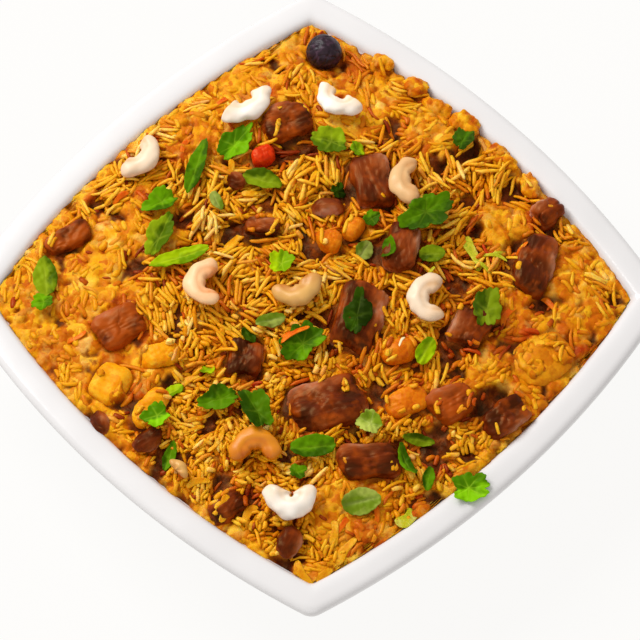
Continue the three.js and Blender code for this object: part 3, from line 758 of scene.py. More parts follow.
    def read(self, field, x, y):
        """A field between its cells' middles: the average of the four nearest, by closeness."""
        across = np.clip((x + MAP_HALF) / MAP_CELL - 0.5, 0, self.cells - 1.001)
        along = np.clip((y + MAP_HALF) / MAP_CELL - 0.5, 0, self.cells - 1.001)
        i, j = across.astype(int), along.astype(int)
        fi, fj = across - i, along - j
        if field.ndim == 3:
            fi, fj = fi[..., None], fj[..., None]
        near = field[i, j] * (1 - fj) + field[i, j + 1] * fj
        far = field[i + 1, j] * (1 - fj) + field[i + 1, j + 1] * fj
        return near * (1 - fi) + far * fi


def grain_size(soft, broken):
    """A random length and width of a grain: soft and short, long and loose, or a broken piece."""
    if soft:
        return rng.uniform(*SOFT_LENGTH), rng.uniform(*SOFT_WIDTH)
    if broken:
        return rng.uniform(*BROKEN_LENGTH), rng.uniform(*BROKEN_WIDTH)
    return rng.uniform(*GRAIN_LENGTH), rng.uniform(*GRAIN_WIDTH)


def settle_grains(heap, tries, soft):
    """Drops grains one by one. Each lies in the lowest of a few directions, along the line that rests
    on the ground under it, and raises the ground. It is left out where it would stand over the room
    there, touch the wall or meet a nut or a leaf. Neighbours lie alike and cling together, and a few lie
    astray on top. Soft grains are short and fat, sink into each other, and lie only where the rice is
    clumped. Returns rows of x, y, z, turn, pitch, length, width."""
    spots = np.linspace(-1, 1, 7)
    laid = []
    for _ in range(tries):
        x, y = rng.uniform(-MAP_HALF, MAP_HALF, 2)
        i, j = heap.spot(x, y)
        if heap.inset[i, j] < RIM_WIDTH + 1 * MM and not heap.shelf[i, j]:
            continue
        chance = heap.clump[i, j] * (not heap.sunk[i, j]) if soft else 1 - 0.985 * heap.clump[i, j]
        if rng.uniform() > chance:
            continue
        short = np.clip(0.4 + 3.4 * (x - y), 0.1, 0.9)  # broken grains lie mostly on the near side
        length, width = grain_size(soft, rng.uniform() < short)
        astray = rng.uniform() < ASTRAY_SHARE
        turns = heap.heading[i, j] + rng.normal(0, ASTRAY_SPREAD if astray else ALIKE_SPREAD, 4)
        along = spots * length / 2
        px = x + np.cos(turns)[:, None] * along
        py = y + np.sin(turns)[:, None] * along
        at = heap.cell(px, py)
        under = heap.ground[at]
        slope = (under * along).sum(1) / (along * along).sum()
        slope = np.clip(slope, -STEEPEST_GRAIN, STEEPEST_GRAIN)
        base = (under - slope[:, None] * along).max(1)
        pick = int(np.argmin(base))
        sink = width * (0.68 if soft else 0.2 if astray else 0.46 + 0.12 * heap.clump[i, j])
        line = base[pick] - sink + slope[pick] * along
        below = (at[0][pick], at[1][pick])
        # Whole grains may stand higher on the far side, and a few loose ones anywhere.
        extra = 1.6 * MM * (1 - heap.clump[i, j]) * (1 - short) ** 2 if length > GRAIN_LENGTH[0] else 0
        extra += 3.6 * MM if not soft and rng.uniform() < 0.04 else 0
        room = heap.room[below] + extra * (not heap.sunk[i, j])
        if (line + width > room).any() or (line + width > heap.ceiling[below] - 0.1 * MM).any():
            continue
        shore = RIM_WIDTH + 0.4 * MM + 0.5 * np.clip(DISH_HEIGHT - 1.7 * MM - line, 0, None) + 0.4 * width
        if ((heap.inset[below] < shore) & ~heap.shelf[below]).any():
            continue
        laid.append((x, y, base[pick] - sink + width / 2, turns[pick], np.arctan(slope[pick]), length, width))
        box, run, off = heap.around(x, y, length / 2, turns[pick])
        end = np.clip(np.abs(run) - length / 2 + width / 2, 0, None)
        dome = 1 - (off**2 + end**2) / (width / 2) ** 2
        top = base[pick] - sink + slope[pick] * run + width / 2 * (1 + np.sqrt(np.clip(dome, 0, None)))
        heap.lay(box, dome > 0, top, len(laid))
    return np.array(laid)


def settle_flakes(heap, tries):
    """Lays soft flat flakes over the clumped rice, like shingles: each is an oval with a ragged edge,
    tilted at random over the middle height of the ground under it, with a rounded top. Returns rows
    of x, y."""
    laid = []
    for _ in range(tries):
        x, y = rng.uniform(-MAP_HALF, MAP_HALF, 2)
        i, j = heap.spot(x, y)
        if heap.inset[i, j] < RIM_WIDTH + 1 * MM or rng.uniform() > heap.soft[i, j]:
            continue
        length, width = rng.uniform(*FLAKE_LENGTH), rng.uniform(*FLAKE_WIDTH)
        box, run, off = heap.around(x, y, length / 2, rng.uniform(0, np.pi))
        angle = np.arctan2(off / width, run / length)
        ragged = 1 + 0.14 * np.sin(3 * angle + x / MM) + 0.1 * np.sin(5 * angle + y / MM)
        reach = ((2 * run / length) ** 2 + (2 * off / width) ** 2) * ragged
        lean, tilt = rng.normal(0, 0.2, 2)
        plane = lean * run + tilt * off
        inside = reach < 1
        if not inside.any():
            continue
        base = np.median((heap.ground[box] - plane)[inside])
        thick = rng.uniform(0.5, 1.6) * MM
        top = base + plane + thick * np.sqrt(np.clip(1 - reach**2, 0, None))
        too_high = (top > heap.room[box] - SOFT_RELIEF) | (top > heap.ceiling[box] - 0.3 * MM)
        if too_high[inside].any():
            continue
        laid.append((x, y))
        heap.lay(box, inside, top, len(laid))
    return np.array(laid)


# ---- The colours of the rice ----

RICE_RAMP = np.array([0, 0.2, 0.4, 0.6, 0.8, 1])
SHADES = [(130, 34, 1), (188, 86, 2), (216, 135, 5), (228, 162, 12), (238, 182, 42), (248, 208, 114)]
RICE_SHADES = np.array([srgb(*shade) for shade in SHADES])
MASALA = srgb(188, 62, 6)
# Red-brown of sauce, painted as shade into the soft skin's crevices.
SAUCE_AND_SHADE = srgb(162, 49, 2)


def rice_tone(x, y):
    """How pale the rice is around a spot, from 0 to 1: clouds of two sizes, each lump's own, and the
    bright and the sunken patches, the sunken ones painted darker as shade. Loose rice is a little paler
    than soft rice, and the right-hand side a little darker than the left, as painted shade away from
    the light."""
    spots = np.stack([x, y], -1)
    clouds = 0.08 * ripple(spots, 34 * MM, 21) + 0.06 * ripple(spots, 12 * MM, 22)
    lumps = 0.2 * (cells(x, y, 13 * MM, 4)[1] - 0.5) + 0.12 * (1 - clumpiness(x, y))
    # Painted shade: darker towards the right-hand side, away from the light.
    shaded = 0.08 * np.clip((x + y) / (150 * MM), 0, 1)
    patches = 0.18 * patchiness(BRIGHTS, x, y, 23) - 0.5 * patchiness(HOLLOWS, x, y, 24)
    return 0.6 + clouds + lumps + patches - shaded


def rice_shade(tone):
    """Red-brown through orange and gold to cream."""
    tone = np.clip(tone, 0, 1)
    return np.stack([np.interp(tone, RICE_RAMP, RICE_SHADES[:, k]) for k in range(3)], -1)


def masala_share(x, y):
    """Where red masala stains the rice, from 0 to 1."""
    spots = np.stack([x, y], -1)
    share = 1.3 * (ripple(spots, 20 * MM, 41) - 1.2)
    return np.clip(np.maximum(share, 0.85 * patchiness(STAINS, x, y, 42)), 0, 0.85)


# ---- The heap's body ----


def make_soft_skin(heap):
    """Where the rice is clumped its surface is one skin over soft flakes: their height map, a little
    blurred. Elsewhere it is the dark body. Sets the map's skin, its tint and how bare it is. The ground
    becomes the skin, apart from where a chunk stands over it."""
    laid = settle_flakes(heap, FLAKE_TRIES)
    tone = rice_tone(laid[:, 0], laid[:, 1]) + rng.normal(0, 0.09, len(laid))
    tone -= 0.3 * heap.read(heap.saucy, laid[:, 0], laid[:, 1])
    tints = rice_shade(np.concatenate([[0.4], tone]))
    stain = masala_share(heap.x, heap.y)[..., None]
    bare = heap.owner == 0
    level = np.where(heap.sunk & bare, heap.level - 2 * MM, heap.ground)
    heap.skin = blurred(level, 1)
    # Painted shade: where the skin lies lower than round about, its tint is pulled towards a dark red-brown.
    crevice = np.clip((blurred(level, 14) - heap.skin - 0.2 * MM) / (1.1 * MM), 0, 1)[..., None]
    tint = blurred(tints[heap.owner], 1)
    tint = tint + (MASALA - tint) * stain
    heap.tint = tint + (SAUCE_AND_SHADE - tint) * 0.7 * crevice
    # How far the dark body colour shows where no flake covers it: painted shade in the dips and hollows, and
    # sauce round the chunks.
    heap.bare = blurred(bare * np.maximum(heap.dim, heap.saucy), 2)
    raised = heap.sunk & (heap.ground > heap.skin)
    heap.ground = np.where(raised, heap.ground, heap.skin)


def make_core(heap):
    """The body: loops across the dish, from wall to wall over the top and back beneath, set side by
    side from +X to -X. The square of their points is bowed out to the dish's wall."""
    share = np.linspace(-1, 1, BODY_LANES)
    u, v = np.meshgrid(share[::-1], share, indexing="ij")
    half, bow = inner_square(RIM_WIDTH + 0.3 * MM)
    half = half - 1.1 * MM * (u * v) ** 6
    x = u * (half + bow * (1 - v * v))
    y = v * (half + bow * (1 - u * u))
    edge = np.clip((heap.read(heap.inset, x, y) - RIM_WIDTH) / (4 * MM), 0, 1)
    z = heap.read(heap.skin, x, y) - 0.5 * MM * (1 - edge) ** 2
    top = np.stack([x, y, z], -1)
    ribs = [-1, BODY_LANES // 2, 0]
    beneath = top[:, ribs] * 0.9
    beneath[..., 2] = DISH_HEIGHT - BODY_DEPTH
    points = np.concatenate([top, beneath], 1)
    tint = heap.read(heap.tint, x, y)
    bare = heap.read(heap.bare, x, y)[..., None]
    attributes = {
        "tint": np.concatenate([tint, tint[:, ribs]], 1)[None],
        "bare": np.concatenate([bare, bare[:, ribs]], 1)[None],
    }
    mesh = join_grids("rice_body", points[None], attributes)
    return piece("rice_body", mesh, core_finish(), "rice", "rice")


# ---- Sunk chunks ----


def chunk_grid(name, rows, cols, relief, squareness):
    """A rounded, uneven body over a CAD node: its reach in each direction is a soft minimum of the
    distances to the node's faces, the softer the lower the squareness. It is scaled to the node's
    extent and given relief(own coordinates). Returns points, own coordinates and the relief's depth in
    millimetres."""
    faces = solid_faces(name)
    points = cloud(faces)
    middle, axes = own_axes(points)
    normals = np.cross(faces[:, 1] - faces[:, 0], faces[:, 2] - faces[:, 0])
    area = np.linalg.norm(normals, axis=1)
    normals /= area[:, None]
    offsets = ((faces[:, 0] - middle) * normals).sum(1)
    own = directions(rows, cols)
    closeness = np.clip(own @ axes @ normals.T, 0, None) / offsets
    reach = (closeness**squareness).sum(-1) ** (-1 / squareness)
    body = own * reach[..., None]
    body *= np.ptp((points - middle) @ axes.T, axis=0) / np.ptp(body.reshape(-1, 3), axis=0)
    depth = relief(body)[..., None]
    body = body + own * depth
    return middle + body @ axes, body, depth / MM


def meat_relief(seed):
    """Coarse dents, narrow creases, and short fibres drawn out along the chunk."""

    def relief(body):
        fibres = body * np.array([0.45, 1, 1])
        creases = np.exp(-((ripple(fibres, 9 * MM, seed + 1) / 0.2) ** 2))
        fine = ripple(fibres, 2.4 * MM, seed + 2)
        return 1.2 * MM * ripple(body, 15 * MM, seed) - 0.5 * MM * creases + 0.26 * MM * fine - 0.4 * MM

    return relief


def soft_relief(seed):
    """A soft vegetable's dents and fine pits."""

    def relief(body):
        dents = 0.7 * MM * ripple(body, 13 * MM, seed)
        return dents + 0.12 * MM * ripple(body, 2.6 * MM, seed + 1) - 0.4 * MM

    return relief


def plum_relief(seed):
    """Wrinkles: narrow folds where a ripple crosses zero."""

    def relief(body):
        folds = np.exp(-((ripple(body, 6 * MM, seed) / 0.18) ** 2))
        return -0.5 * MM * folds

    return relief


USUAL_SAUCE = 0.12
# How much orange sauce clings to a chunk, where it isn't the usual share.
SAUCE = {"meat_01": 0.2, "meat_08": 0.32, "meat_09": 0.28, "meat_11": 0.32}
# How much paler a chunk is than most.
PALE = {
    "meat_02": 0.16, "meat_04": 0.16, "meat_07": -0.2, "meat_08": 0.12, "meat_11": 0.2, "meat_13": 0.2,
    "meat_16": 0.1, "meat_03": -0.3,
}
# How far in from its margins the rice covers a chunk: more for the soft ones.
SHOWN = {"meat": 0.8, "potato": 1.0, "carrot": 0.8, "carrot_05": 1.6, "plum": 0.5, "tomato": 0.6}


def chunk_kinds():
    """Each kind of sunk piece: its finish, its relief and its squareness."""
    carrot = vegetable_finish("soft_carrot", srgb(196, 84, 2), srgb(212, 112, 3), srgb(228, 140, 20), 0.4)
    potato = vegetable_finish("soft_potato", srgb(224, 130, 2), srgb(230, 154, 6), srgb(240, 182, 40), 0.45)
    squash = vegetable_finish("soft_squash", srgb(190, 100, 2), srgb(210, 124, 6), srgb(226, 150, 16), 0.48)
    tomato = vegetable_finish("soft_tomato", srgb(180, 26, 1), srgb(206, 44, 3), srgb(222, 70, 10), 0.36)
    return {
        "meat": (meat_finish(), meat_relief, 7),
        "carrot": (carrot, soft_relief, 2.6),
        "potato": (potato, soft_relief, 2.8),
        "squash": (squash, soft_relief, 2.8),
        "tomato": (tomato, soft_relief, 3),
        "plum": (plum_finish(), plum_relief, 8),
    }


def make_chunks():
    """Every sunk node's detailed body, in the finish of its kind."""
    kinds = chunk_kinds()
    for seed, name in enumerate(sorted(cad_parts)):
        kind = name.split("_")[0]
        if kind in kinds:
            material, relief, squareness = kinds["squash" if name == "carrot_05" else kind]
            points, own, depth = chunk_grid(name, 60, 90, relief(50 + 3 * seed), squareness)
            attributes = {"own": own[None], "depth": depth[None]}
            attributes["sauce"] = even(SAUCE.get(name, USUAL_SAUCE))
            attributes["pale"] = even(PALE.get(name, 0))
            mesh = join_grids(name + "_body", points[None], attributes)
            piece(name + "_body", mesh, material, kind, name)


# ---- Cashews ----

# Each nut shade's pair: the pale colour, and the brown one, which is the toasting at the tips and back and
# also painted shade in the crease and on the inner side.
CASHEW_SHADES = {
    "white": (srgb(243, 232, 218), srgb(228, 192, 148)),
    "pearl": (srgb(236, 210, 180), srgb(212, 162, 110)),
    "pink": (srgb(242, 198, 148), srgb(220, 140, 78)),
    "beige": (srgb(224, 178, 122), srgb(200, 136, 76)),
    "tan": (srgb(216, 164, 88), srgb(188, 112, 36)),
    "golden": (srgb(216, 132, 8), srgb(188, 84, 2)),
}
# Each nut's shade, the radius of its bend in millimetres, the bend's sweep in degrees, how blunt its
# tips are, and how deep its inner side is notched.
CASHEW_KIND = [
    ("white", 14, 142, 160, 0), ("white", 11.3, 176, 100, 0.15), ("pearl", 11.4, 182, 5, 0.2),
    ("beige", 12, 186, 4, 0), ("pink", 10, 244, 4, 0), ("tan", 10, 210, 4, 0), ("pearl", 10.2, 244, 5, 0),
    ("golden", 9.5, 246, 4, 0), ("white", 9, 240, 7, 0.45), ("tan", 4.2, 176, 5, 0),
]


def cashew_grid(name, seed, bend, sweep, bluntness, notch):
    """A kidney: oval sections carried along an arc, fatter towards one tip, with a crease along its
    upper side. Its open side faces its second axis, and it is scaled to the node's extent."""
    points = cloud(solid_faces(name))
    middle, axes = own_axes(points)
    own = (points - middle) @ axes.T
    far = np.abs(own[:, 0]) > 0.3 * np.ptp(own[:, 0])
    if own[far, 1].mean() < own[~far, 1].mean():  # the tips lie on the open side
        axes[:2] *= -1
        own[:, :2] *= -1
    rows, cols = 60, 32
    along = np.linspace(-0.99, 0.99, rows)[:, None]
    around = np.linspace(0, 2 * np.pi, cols, endpoint=False)
    angle = -np.pi / 2 + np.radians(sweep / 2) * along
    thick = np.ptp(own[:, 2]) / 0.84
    width = thick / 2 * (1 - np.abs(along) ** bluntness) ** 0.5 * (1 - 0.12 * along * (-1) ** seed)
    width = width * (1 + 0.1 * np.cos(2.2 * np.pi * along))
    crease = 1 - 0.16 * np.exp(-(((around - np.pi / 2 - 0.3) / 0.26) ** 2))
    pinch = 1 - notch * np.exp(-((along / 0.3) ** 2)) * np.clip(-np.cos(around), 0, 1)
    reach = bend * MM + 1.42 * width * crease * pinch * np.cos(around)
    up = 0.84 * width * crease * np.sin(around)
    body = np.stack([reach * np.cos(angle), reach * np.sin(angle), up], -1)
    body *= 1 + 0.035 * ripple(body, 9 * MM, seed)[..., None]
    flat = body.reshape(-1, 3)
    body = (body - (flat.max(0) + flat.min(0)) / 2) * np.ptp(own, axis=0) / np.ptp(flat, axis=0)
    body += (own.max(0) + own.min(0)) / 2
    # How brown the nut is: toasting at its tips and on its back, and painted shade in its crease and on the
    # inner side of its bend.
    inside = np.clip(-np.cos(around), 0, 1)
    toast_and_shade = 0.2 + 0.6 * along**2 * (0.4 + 0.6 * np.sin(around)) + 1.6 * (1 - crease) + 0.4 * inside
    return middle + body @ axes, toast_and_shade[..., None]


def make_cashews():
    shades = {key: cashew_finish("cashew_" + key, *pair) for key, pair in CASHEW_SHADES.items()}
    for seed, (kind, *form) in enumerate(CASHEW_KIND):
        name = f"cashew_{seed + 1:02d}"
        points, toast_and_shade = cashew_grid(name, seed, *form)
        mesh = join_grids(name + "_nut", points[None], {"toast_and_shade": toast_and_shade[None]})
        piece(name + "_nut", mesh, shades[kind], "cashew", name)


# ---- Leaves ----

# Each shade: the blade's green, the darker green painted on its shaded half, and the veins' green.
LEAF_SHADES = {
    "fresh": (srgb(86, 130, 2), srgb(48, 82, 0), srgb(128, 154, 30)),
    "olive": (srgb(112, 130, 10), srgb(58, 78, 2), srgb(140, 150, 40)),
    "lime": (srgb(156, 182, 4), srgb(104, 138, 0), srgb(180, 194, 50)),
    "dark": (srgb(44, 72, 2), srgb(18, 36, 0), srgb(76, 98, 16)),
    "pale": (srgb(138, 148, 62), srgb(92, 112, 18), srgb(160, 166, 96)),
}
# Each leaf's shade, its number of lobes, how far it is folded along its midrib, and how light it is:
# a factor on its colour that is partly its own tone and partly painted light and shade.
LEAF_KIND = [
    ("fresh", 5, 0.3, 1.6), ("fresh", 1, 0.35, 1), ("olive", 3, 0.2, 1.5), ("olive", 1, 0.3, 1.15),
    ("fresh", 3, 0.4, 1.25), ("olive", 3, 0.5, 1.55), ("lime", 1, 0.3, 0.94), ("olive", 1, 0.2, 1.25),
    ("fresh", 3, 0.1, 1.6), ("dark", 3, 0.3, 2.3), ("fresh", 5, 0.25, 0.74), ("lime", 3, 0.4, 1.2),
    ("olive", 3, 0.2, 1), ("dark", 3, 0.15, 1), ("fresh", 5, 0.25, 1.2), ("fresh", 3, 0.25, 0.86),
    ("fresh", 3, 0.4, 0.66), ("fresh", 3, 0.2, 2.2), ("fresh", 1, 0.35, 0.95), ("fresh", 5, 0.2, 2.1),
    ("pale", 1, 0.2, 1.25), ("pale", 3, 0.2, 1.6),
]
# The turn from a leaf's long axis to its tip, where it isn't along it.
LEAF_AIM = {"leaf_15": np.pi / 2, "leaf_11": np.pi / 2, "leaf_20": np.pi}


def leaf_edge(turn, lobes, seed):
    """The leaf's reach at each turn from its tip, 1 at most. One lobe gives a long blade. More give a
    fan of lobes from the stalk, uneven in length, each with rounded teeth, drawn in at the stalk."""
    teeth = np.abs(np.cos(6.5 * turn + seed)) ** 0.7 + 0.4 * np.sin(4 * turn + 2 * seed)
    if lobes == 1:
        return 0.83 + 0.12 * np.abs(np.cos(turn)) ** 3 + 0.05 * teeth
    spacing = {3: 4.6, 5: 7.2}[lobes]
    bent = turn + 0.25 * np.sin(turn + 2.3 * seed)
    lobed = np.abs(np.cos(spacing * bent / 2)) ** 0.6
    towards_stalk = np.clip((np.abs(turn) - 2.0) / 1.1, 0, 1)
    uneven = 1 - 0.12 * np.sin(2 * turn + 1.9 * seed) ** 2
    return (0.66 + 0.24 * lobed + 0.1 * teeth) * (1 - 0.35 * towards_stalk) * uneven


def leaf_grid(length, width, lobes, seed, lift, fold=0.0, aim=0.0):
    """A thin leaf round its own middle, with its tip turned by aim from +X: rings that shrink from the
    edge to the middle on the upper face and grow again on the lower one. Height is lift(x, y) plus the
    fold along the midrib, furrows along the veins and a ripple. Returns points, veins and which half of
    the blade, the half that is painted darker as shade."""
    rows, cols = 10, 96
    turn = np.linspace(-np.pi, np.pi, cols, endpoint=False)
    from_tip = (turn - aim + np.pi) % (2 * np.pi) - np.pi
    edge = leaf_edge(from_tip, lobes, seed)
    out = np.linspace(0.05, 1, rows)
    share = np.concatenate([out, [1.02], out[::-1]])[:, None]
    side = np.concatenate([np.ones(rows), [0.0], -np.ones(rows)])[:, None]
    x = length / 2 * share * edge * np.cos(turn)
    y = width / 2 * share * edge * np.sin(turn)
    ribs = 2.3 if lobes == 3 else 3.6
    beside_rib = np.abs(np.sin(ribs * from_tip)) if lobes > 1 else np.abs(np.sin(from_tip))
    vein = np.exp(-((beside_rib * share / 0.12) ** 2)) * np.clip(1.2 - share, 0, 1)
    spots = np.stack([x, y], -1)
    ripples = 0.7 * MM * ripple(spots, 9 * MM, seed) * share + 0.25 * MM * ripple(spots, 3.5 * MM, seed + 1)
    z = lift(x, y) + fold * (np.abs(y) - width / 8) + ripples - 0.15 * MM * vein + 0.2 * MM * side
    # Painted shade: which half of the blade is painted in the darker green.
    half = 0.5 + 0.5 * np.tanh((y + 0.12 * width * np.sin(seed)) / (0.12 * width)) * (-1) ** seed
    return np.stack([x, y, z], -1)[::-1], vein[::-1, :, None], half[::-1, :, None]


def fitted_lift(own):
    """The height of a CAD leaf over its own plane: the quadratic of x and y that fits its points best."""

    def terms(x, y):
        return np.stack([np.ones_like(x), x, y, x * x, x * y, y * y], -1)

    weights = np.linalg.lstsq(terms(own[:, 0], own[:, 1]), own[:, 2], rcond=None)[0]
    return lambda x, y: terms(x, y) @ weights


def make_leaves(shades):
    for seed, (shade, lobes, fold, light) in enumerate(LEAF_KIND):
        name = f"leaf_{seed + 1:02d}"
        points = cloud(solid_faces(name))
        middle, axes = own_axes(points)
        own = (points - middle) @ axes.T
        length, width = np.ptp(own, axis=0)[:2]
        aim = LEAF_AIM.get(name, 0.0)
        body, vein, half = leaf_grid(length * 1.08, width * 1.2, lobes, seed, fitted_lift(own), fold, aim)
        attributes = {"vein": vein[None], "half": half[None], "light": even(light)}
        mesh = join_grids(name + "_blade", (middle + body @ axes)[None], attributes)
        piece(name + "_blade", mesh, shades[shade], "leaf", name)


# ---- Loose grains ----


def grain_grid(laid):
    """Grains as six flattened oval rings of six points, with blunt ends of uneven width. Broken ones
    are cut off at one end. The middle line is bent to a bow and an S by random amounts. Returns points
    [n, 6, 6, 3] and the rings' shares of the half length."""
    x, y, z, turn, pitch, length, width = laid.T[:, :, None, None]
    count = len(laid)
    share = np.array([-1, -0.86, -0.4, 0.4, 0.86, 1])[None, :, None]
    around = np.arange(6)[None, None, :] * np.pi / 3
    profile = np.ones((count, 6, 1))
    profile[:, [0, 5], 0] = rng.uniform(0.18, 0.5, (count, 2))
    profile[:, [1, 4], 0] = rng.uniform(0.6, 0.9, (count, 2))
    broken = laid[:, 5] < BROKEN_LENGTH[1]
    profile[broken, 5, 0] = rng.uniform(0.6, 0.95, broken.sum())
    profile[:, [2, 3], 0] = rng.uniform(0.88, 1.08, (count, 2))
    radius = width / 2 * profile
    scale = MM * length / (11 * MM)
    bow = rng.normal(0, 0.7, (count, 1, 1)) * scale * (share**2 - 0.4)
    snake = rng.normal(0, 0.6, (count, 1, 1)) * scale * (share**3 - 0.6 * share)
    sag = rng.normal(-0.3, 0.35, (count, 1, 1)) * scale * share**2
    along = share * length / 2 + 0 * around
    off = bow + snake + radius * np.cos(around)
    up = sag + 0.76 * radius * np.sin(around)
    run = along * np.cos(pitch) - up * np.sin(pitch)
    rise = along * np.sin(pitch) + up * np.cos(pitch)
    px = x + run * np.cos(turn) - off * np.sin(turn)
    py = y + run * np.sin(turn) + off * np.cos(turn)
    return np.stack([px, py, z + rise], -1), share


GRAIN_KINDS = ["russet", "rust", "orange", "golden", "yellow", "straw", "cream"]


def make_grains(heap):
    """The grains: soft ones more than half sunk in the skin, then loose ones. Those that lie high are
    paler, as painted light, and those that lie low darker, partly sauce and partly painted shade. They
    are parted into kinds of equal number from the darkest to the palest."""
    soft = settle_grains(heap, SOFT_TRIES, soft=True)
    laid = np.concatenate([soft, settle_grains(heap, LOOSE_TRIES, soft=False)])
    spread = np.where(np.arange(len(laid)) < len(soft), 0.04, 0.07)
    x, y, z = laid.T[:3]
    # Painted light and shade: grains standing over the blurred ground are painted paler, those under it
    # darker.
    stands = np.clip((z - heap.read(blurred(heap.ground, 60), x, y)) / (2 * MM), -1, 1)
    tone = rice_tone(x, y) + 0.2 * stands + 0.02 + spread * rng.normal(0, 1, len(laid))
    tone -= 0.2 * heap.read(heap.saucy, x, y) + 0.5 * (rng.uniform(size=len(laid)) < 0.05)
    rank = np.argsort(np.argsort(tone)) * len(GRAIN_KINDS) // len(laid)
    stain = masala_share(x, y)
    for k, kind in enumerate(GRAIN_KINDS):
        mine = rank == k
        points, share = grain_grid(laid[mine])
        drift = rng.normal(0, 0.08, (mine.sum(), 1, 1)) * share - 0.07 * share**2 + 0 * points[..., 0]
        tint = rice_shade(tone[mine][:, None, None] + drift)
        red = stain[mine] * rng.uniform(0.3, 1, mine.sum()) + 0.4 * (rng.uniform(size=mine.sum()) < 0.14)
        red = red[:, None, None, None]
        mesh = join_grids("rice_" + kind, points, {"tint": tint + (MASALA - tint) * red})
        piece("rice_" + kind, mesh, grain_finish("grain_" + kind), "rice")


# ---- Small things on the heap ----

# Shreds of cabbage, onion and carrot, and a pale curl on a carrot piece: [across, away, turn, length,
# width] in millimetres and degrees.
GREEN_SHREDS = [
    (79.7, 21.2, 97, 21, 5), (89.7, 19.2, -14, 15, 2), (84.7, 12.2, -30, 12, 1.8), (93.7, 22.2, 30, 9, 1.8),
    (46.7, -122.8, 60, 13, 7), (57.7, 9.2, 20, 8, 1.8),
]
YELLOW_SHREDS = [
    (-42.3, -120.8, 70, 14, 4), (-30.3, -121.8, 50, 13, 4), (-55.3, -105.8, 20, 12, 3.4),
    (-38.3, 28.2, 75, 17, 5), (-28.3, 55.2, 20, 13, 3.4), (-41.3, 66.2, 70, 13, 3.4),
    (46.7, 20.2, 100, 12, 3), (66.7, 87.2, 15, 14, 3.4), (-13.3, 105.2, 60, 12, 3.4),
    (-59.3, -48.8, 40, 12, 3.4), (-54.3, -70, 35, 16, 2.2), (-46.3, -84, 60, 15, 2.2),
    (-59.3, -77, 10, 15, 2.2), (-3.5, -154, 108, 17, 4), (6, -156, 60, 13, 4),
    (17, -141, 65, 15, 4.4), (11, -133, 100, 13, 4),
]
ORANGE_SHREDS = [
    (-46.3, 109.2, 20, 12, 2.6), (-63.3, 83.2, 60, 11, 2.6), (97.7, -12.8, 60, 16, 3),
    (117.7, -4.8, -30, 18, 3), (-116.3, -24.8, 30, 12, 2.6), (30.7, -124.8, 80, 15, 3),
    (14.7, -128.8, 40, 14, 3), (-95.3, 53.2, 30, 10, 2.6), (103.7, 21.2, 60, 12, 3),
    (-8.7, -29.4, 42, 17, 4.4),
]
# A thin pale curl that lies on a carrot piece.
WHITE_SHREDS = [(43.6, -34, 50, 9, 1.2)]


def lain_frame(heap, across, away, turn, radius, over=0.93):
    """A spot on the rice, or on the leaf or nut that lies there, with its axes: the plane that fits the
    ground within radius, lifted until the share over of it lies beneath. Returns the middle and the
    axes."""
    x, y = place(across, away)
    near = np.hypot(heap.x - x, heap.y - y) < radius
    lying = np.where(heap.ceiling < HIGHEST, heap.ceiling + BIT_OVER_LEAF, heap.ground)
    dx, dy, z = heap.x[near] - x, heap.y[near] - y, lying[near]
    terms = np.stack([dx, dy, np.ones_like(dx)], -1)
    slopes = np.linalg.lstsq(terms, z, rcond=None)[0][:2]
    slope_x, slope_y = np.clip(slopes, -STEEPEST_BIT, STEEPEST_BIT)
    height = np.quantile(z - slope_x * dx - slope_y * dy, over)
    up = np.array([-slope_x, -slope_y, 1]) / np.sqrt(1 + slope_x**2 + slope_y**2)
    heading = np.radians(turn + 45)
    ahead = np.array([np.cos(heading), np.sin(heading), 0])
    ahead -= up * (ahead @ up)
    ahead /= np.linalg.norm(ahead)
    return np.array([x, y, height]), np.stack([ahead, np.cross(up, ahead), up])


def make_leaf_bits(heap, shades):
    """Small coriander bits, lying on the rice or over a leaf: one piece for each shade."""
    for shade, material in shades.items():
        grids, veins, halves = [], [], []
        for seed, (across, away, turn, length, width) in enumerate(LEAF_BITS):
            kind, lobes = LEAF_BIT_KIND[seed]
            if kind == shade:
                middle, axes = lain_frame(heap, across, away, turn, 0.3 * length * MM)
                curl = 0.015 / MM * (1 + seed % 3)
                size = (length * 1.1 * MM, width * 1.15 * MM)
                body, vein, half = leaf_grid(*size, lobes, seed, lambda x, y, c=curl: c * x * x, 0.2)
                grids.append(middle + 0.5 * MM * axes[2] + body @ axes)
                veins.append(vein)
                halves.append(half)
        attributes = {"vein": np.stack(veins), "half": np.stack(halves), "light": even(1)}
        mesh = join_grids("coriander_bits_" + shade, np.stack(grids), attributes)
        piece("coriander_bits_" + shade, mesh, material, "leaf")


def make_crumbs(heap):
    """Crumbs of meat: rounded lumps with the chunks' relief, half sunk."""
    ball = directions(24, 36)
    grids, owns, depths = [], [], []
    for seed, (across, away, length) in enumerate(MEAT_BITS):
        middle, axes = lain_frame(heap, across, away, 35 * seed, 0.3 * length * MM)
        body = ball * np.array([0.55, 0.42, 0.34]) * length * MM
        depths.append(meat_relief(300 + 5 * seed)(body)[..., None])
        body = body + ball * depths[-1]
        grids.append(middle + body @ axes)
        owns.append(body)
    attributes = {"own": np.stack(owns), "depth": np.stack(depths) / MM, "sauce": even(0.1), "pale": even(0)}
    mesh = join_grids("meat_crumbs", np.stack(grids), attributes)
    piece("meat_crumbs", mesh, bpy.data.materials["braised_meat"], "meat")


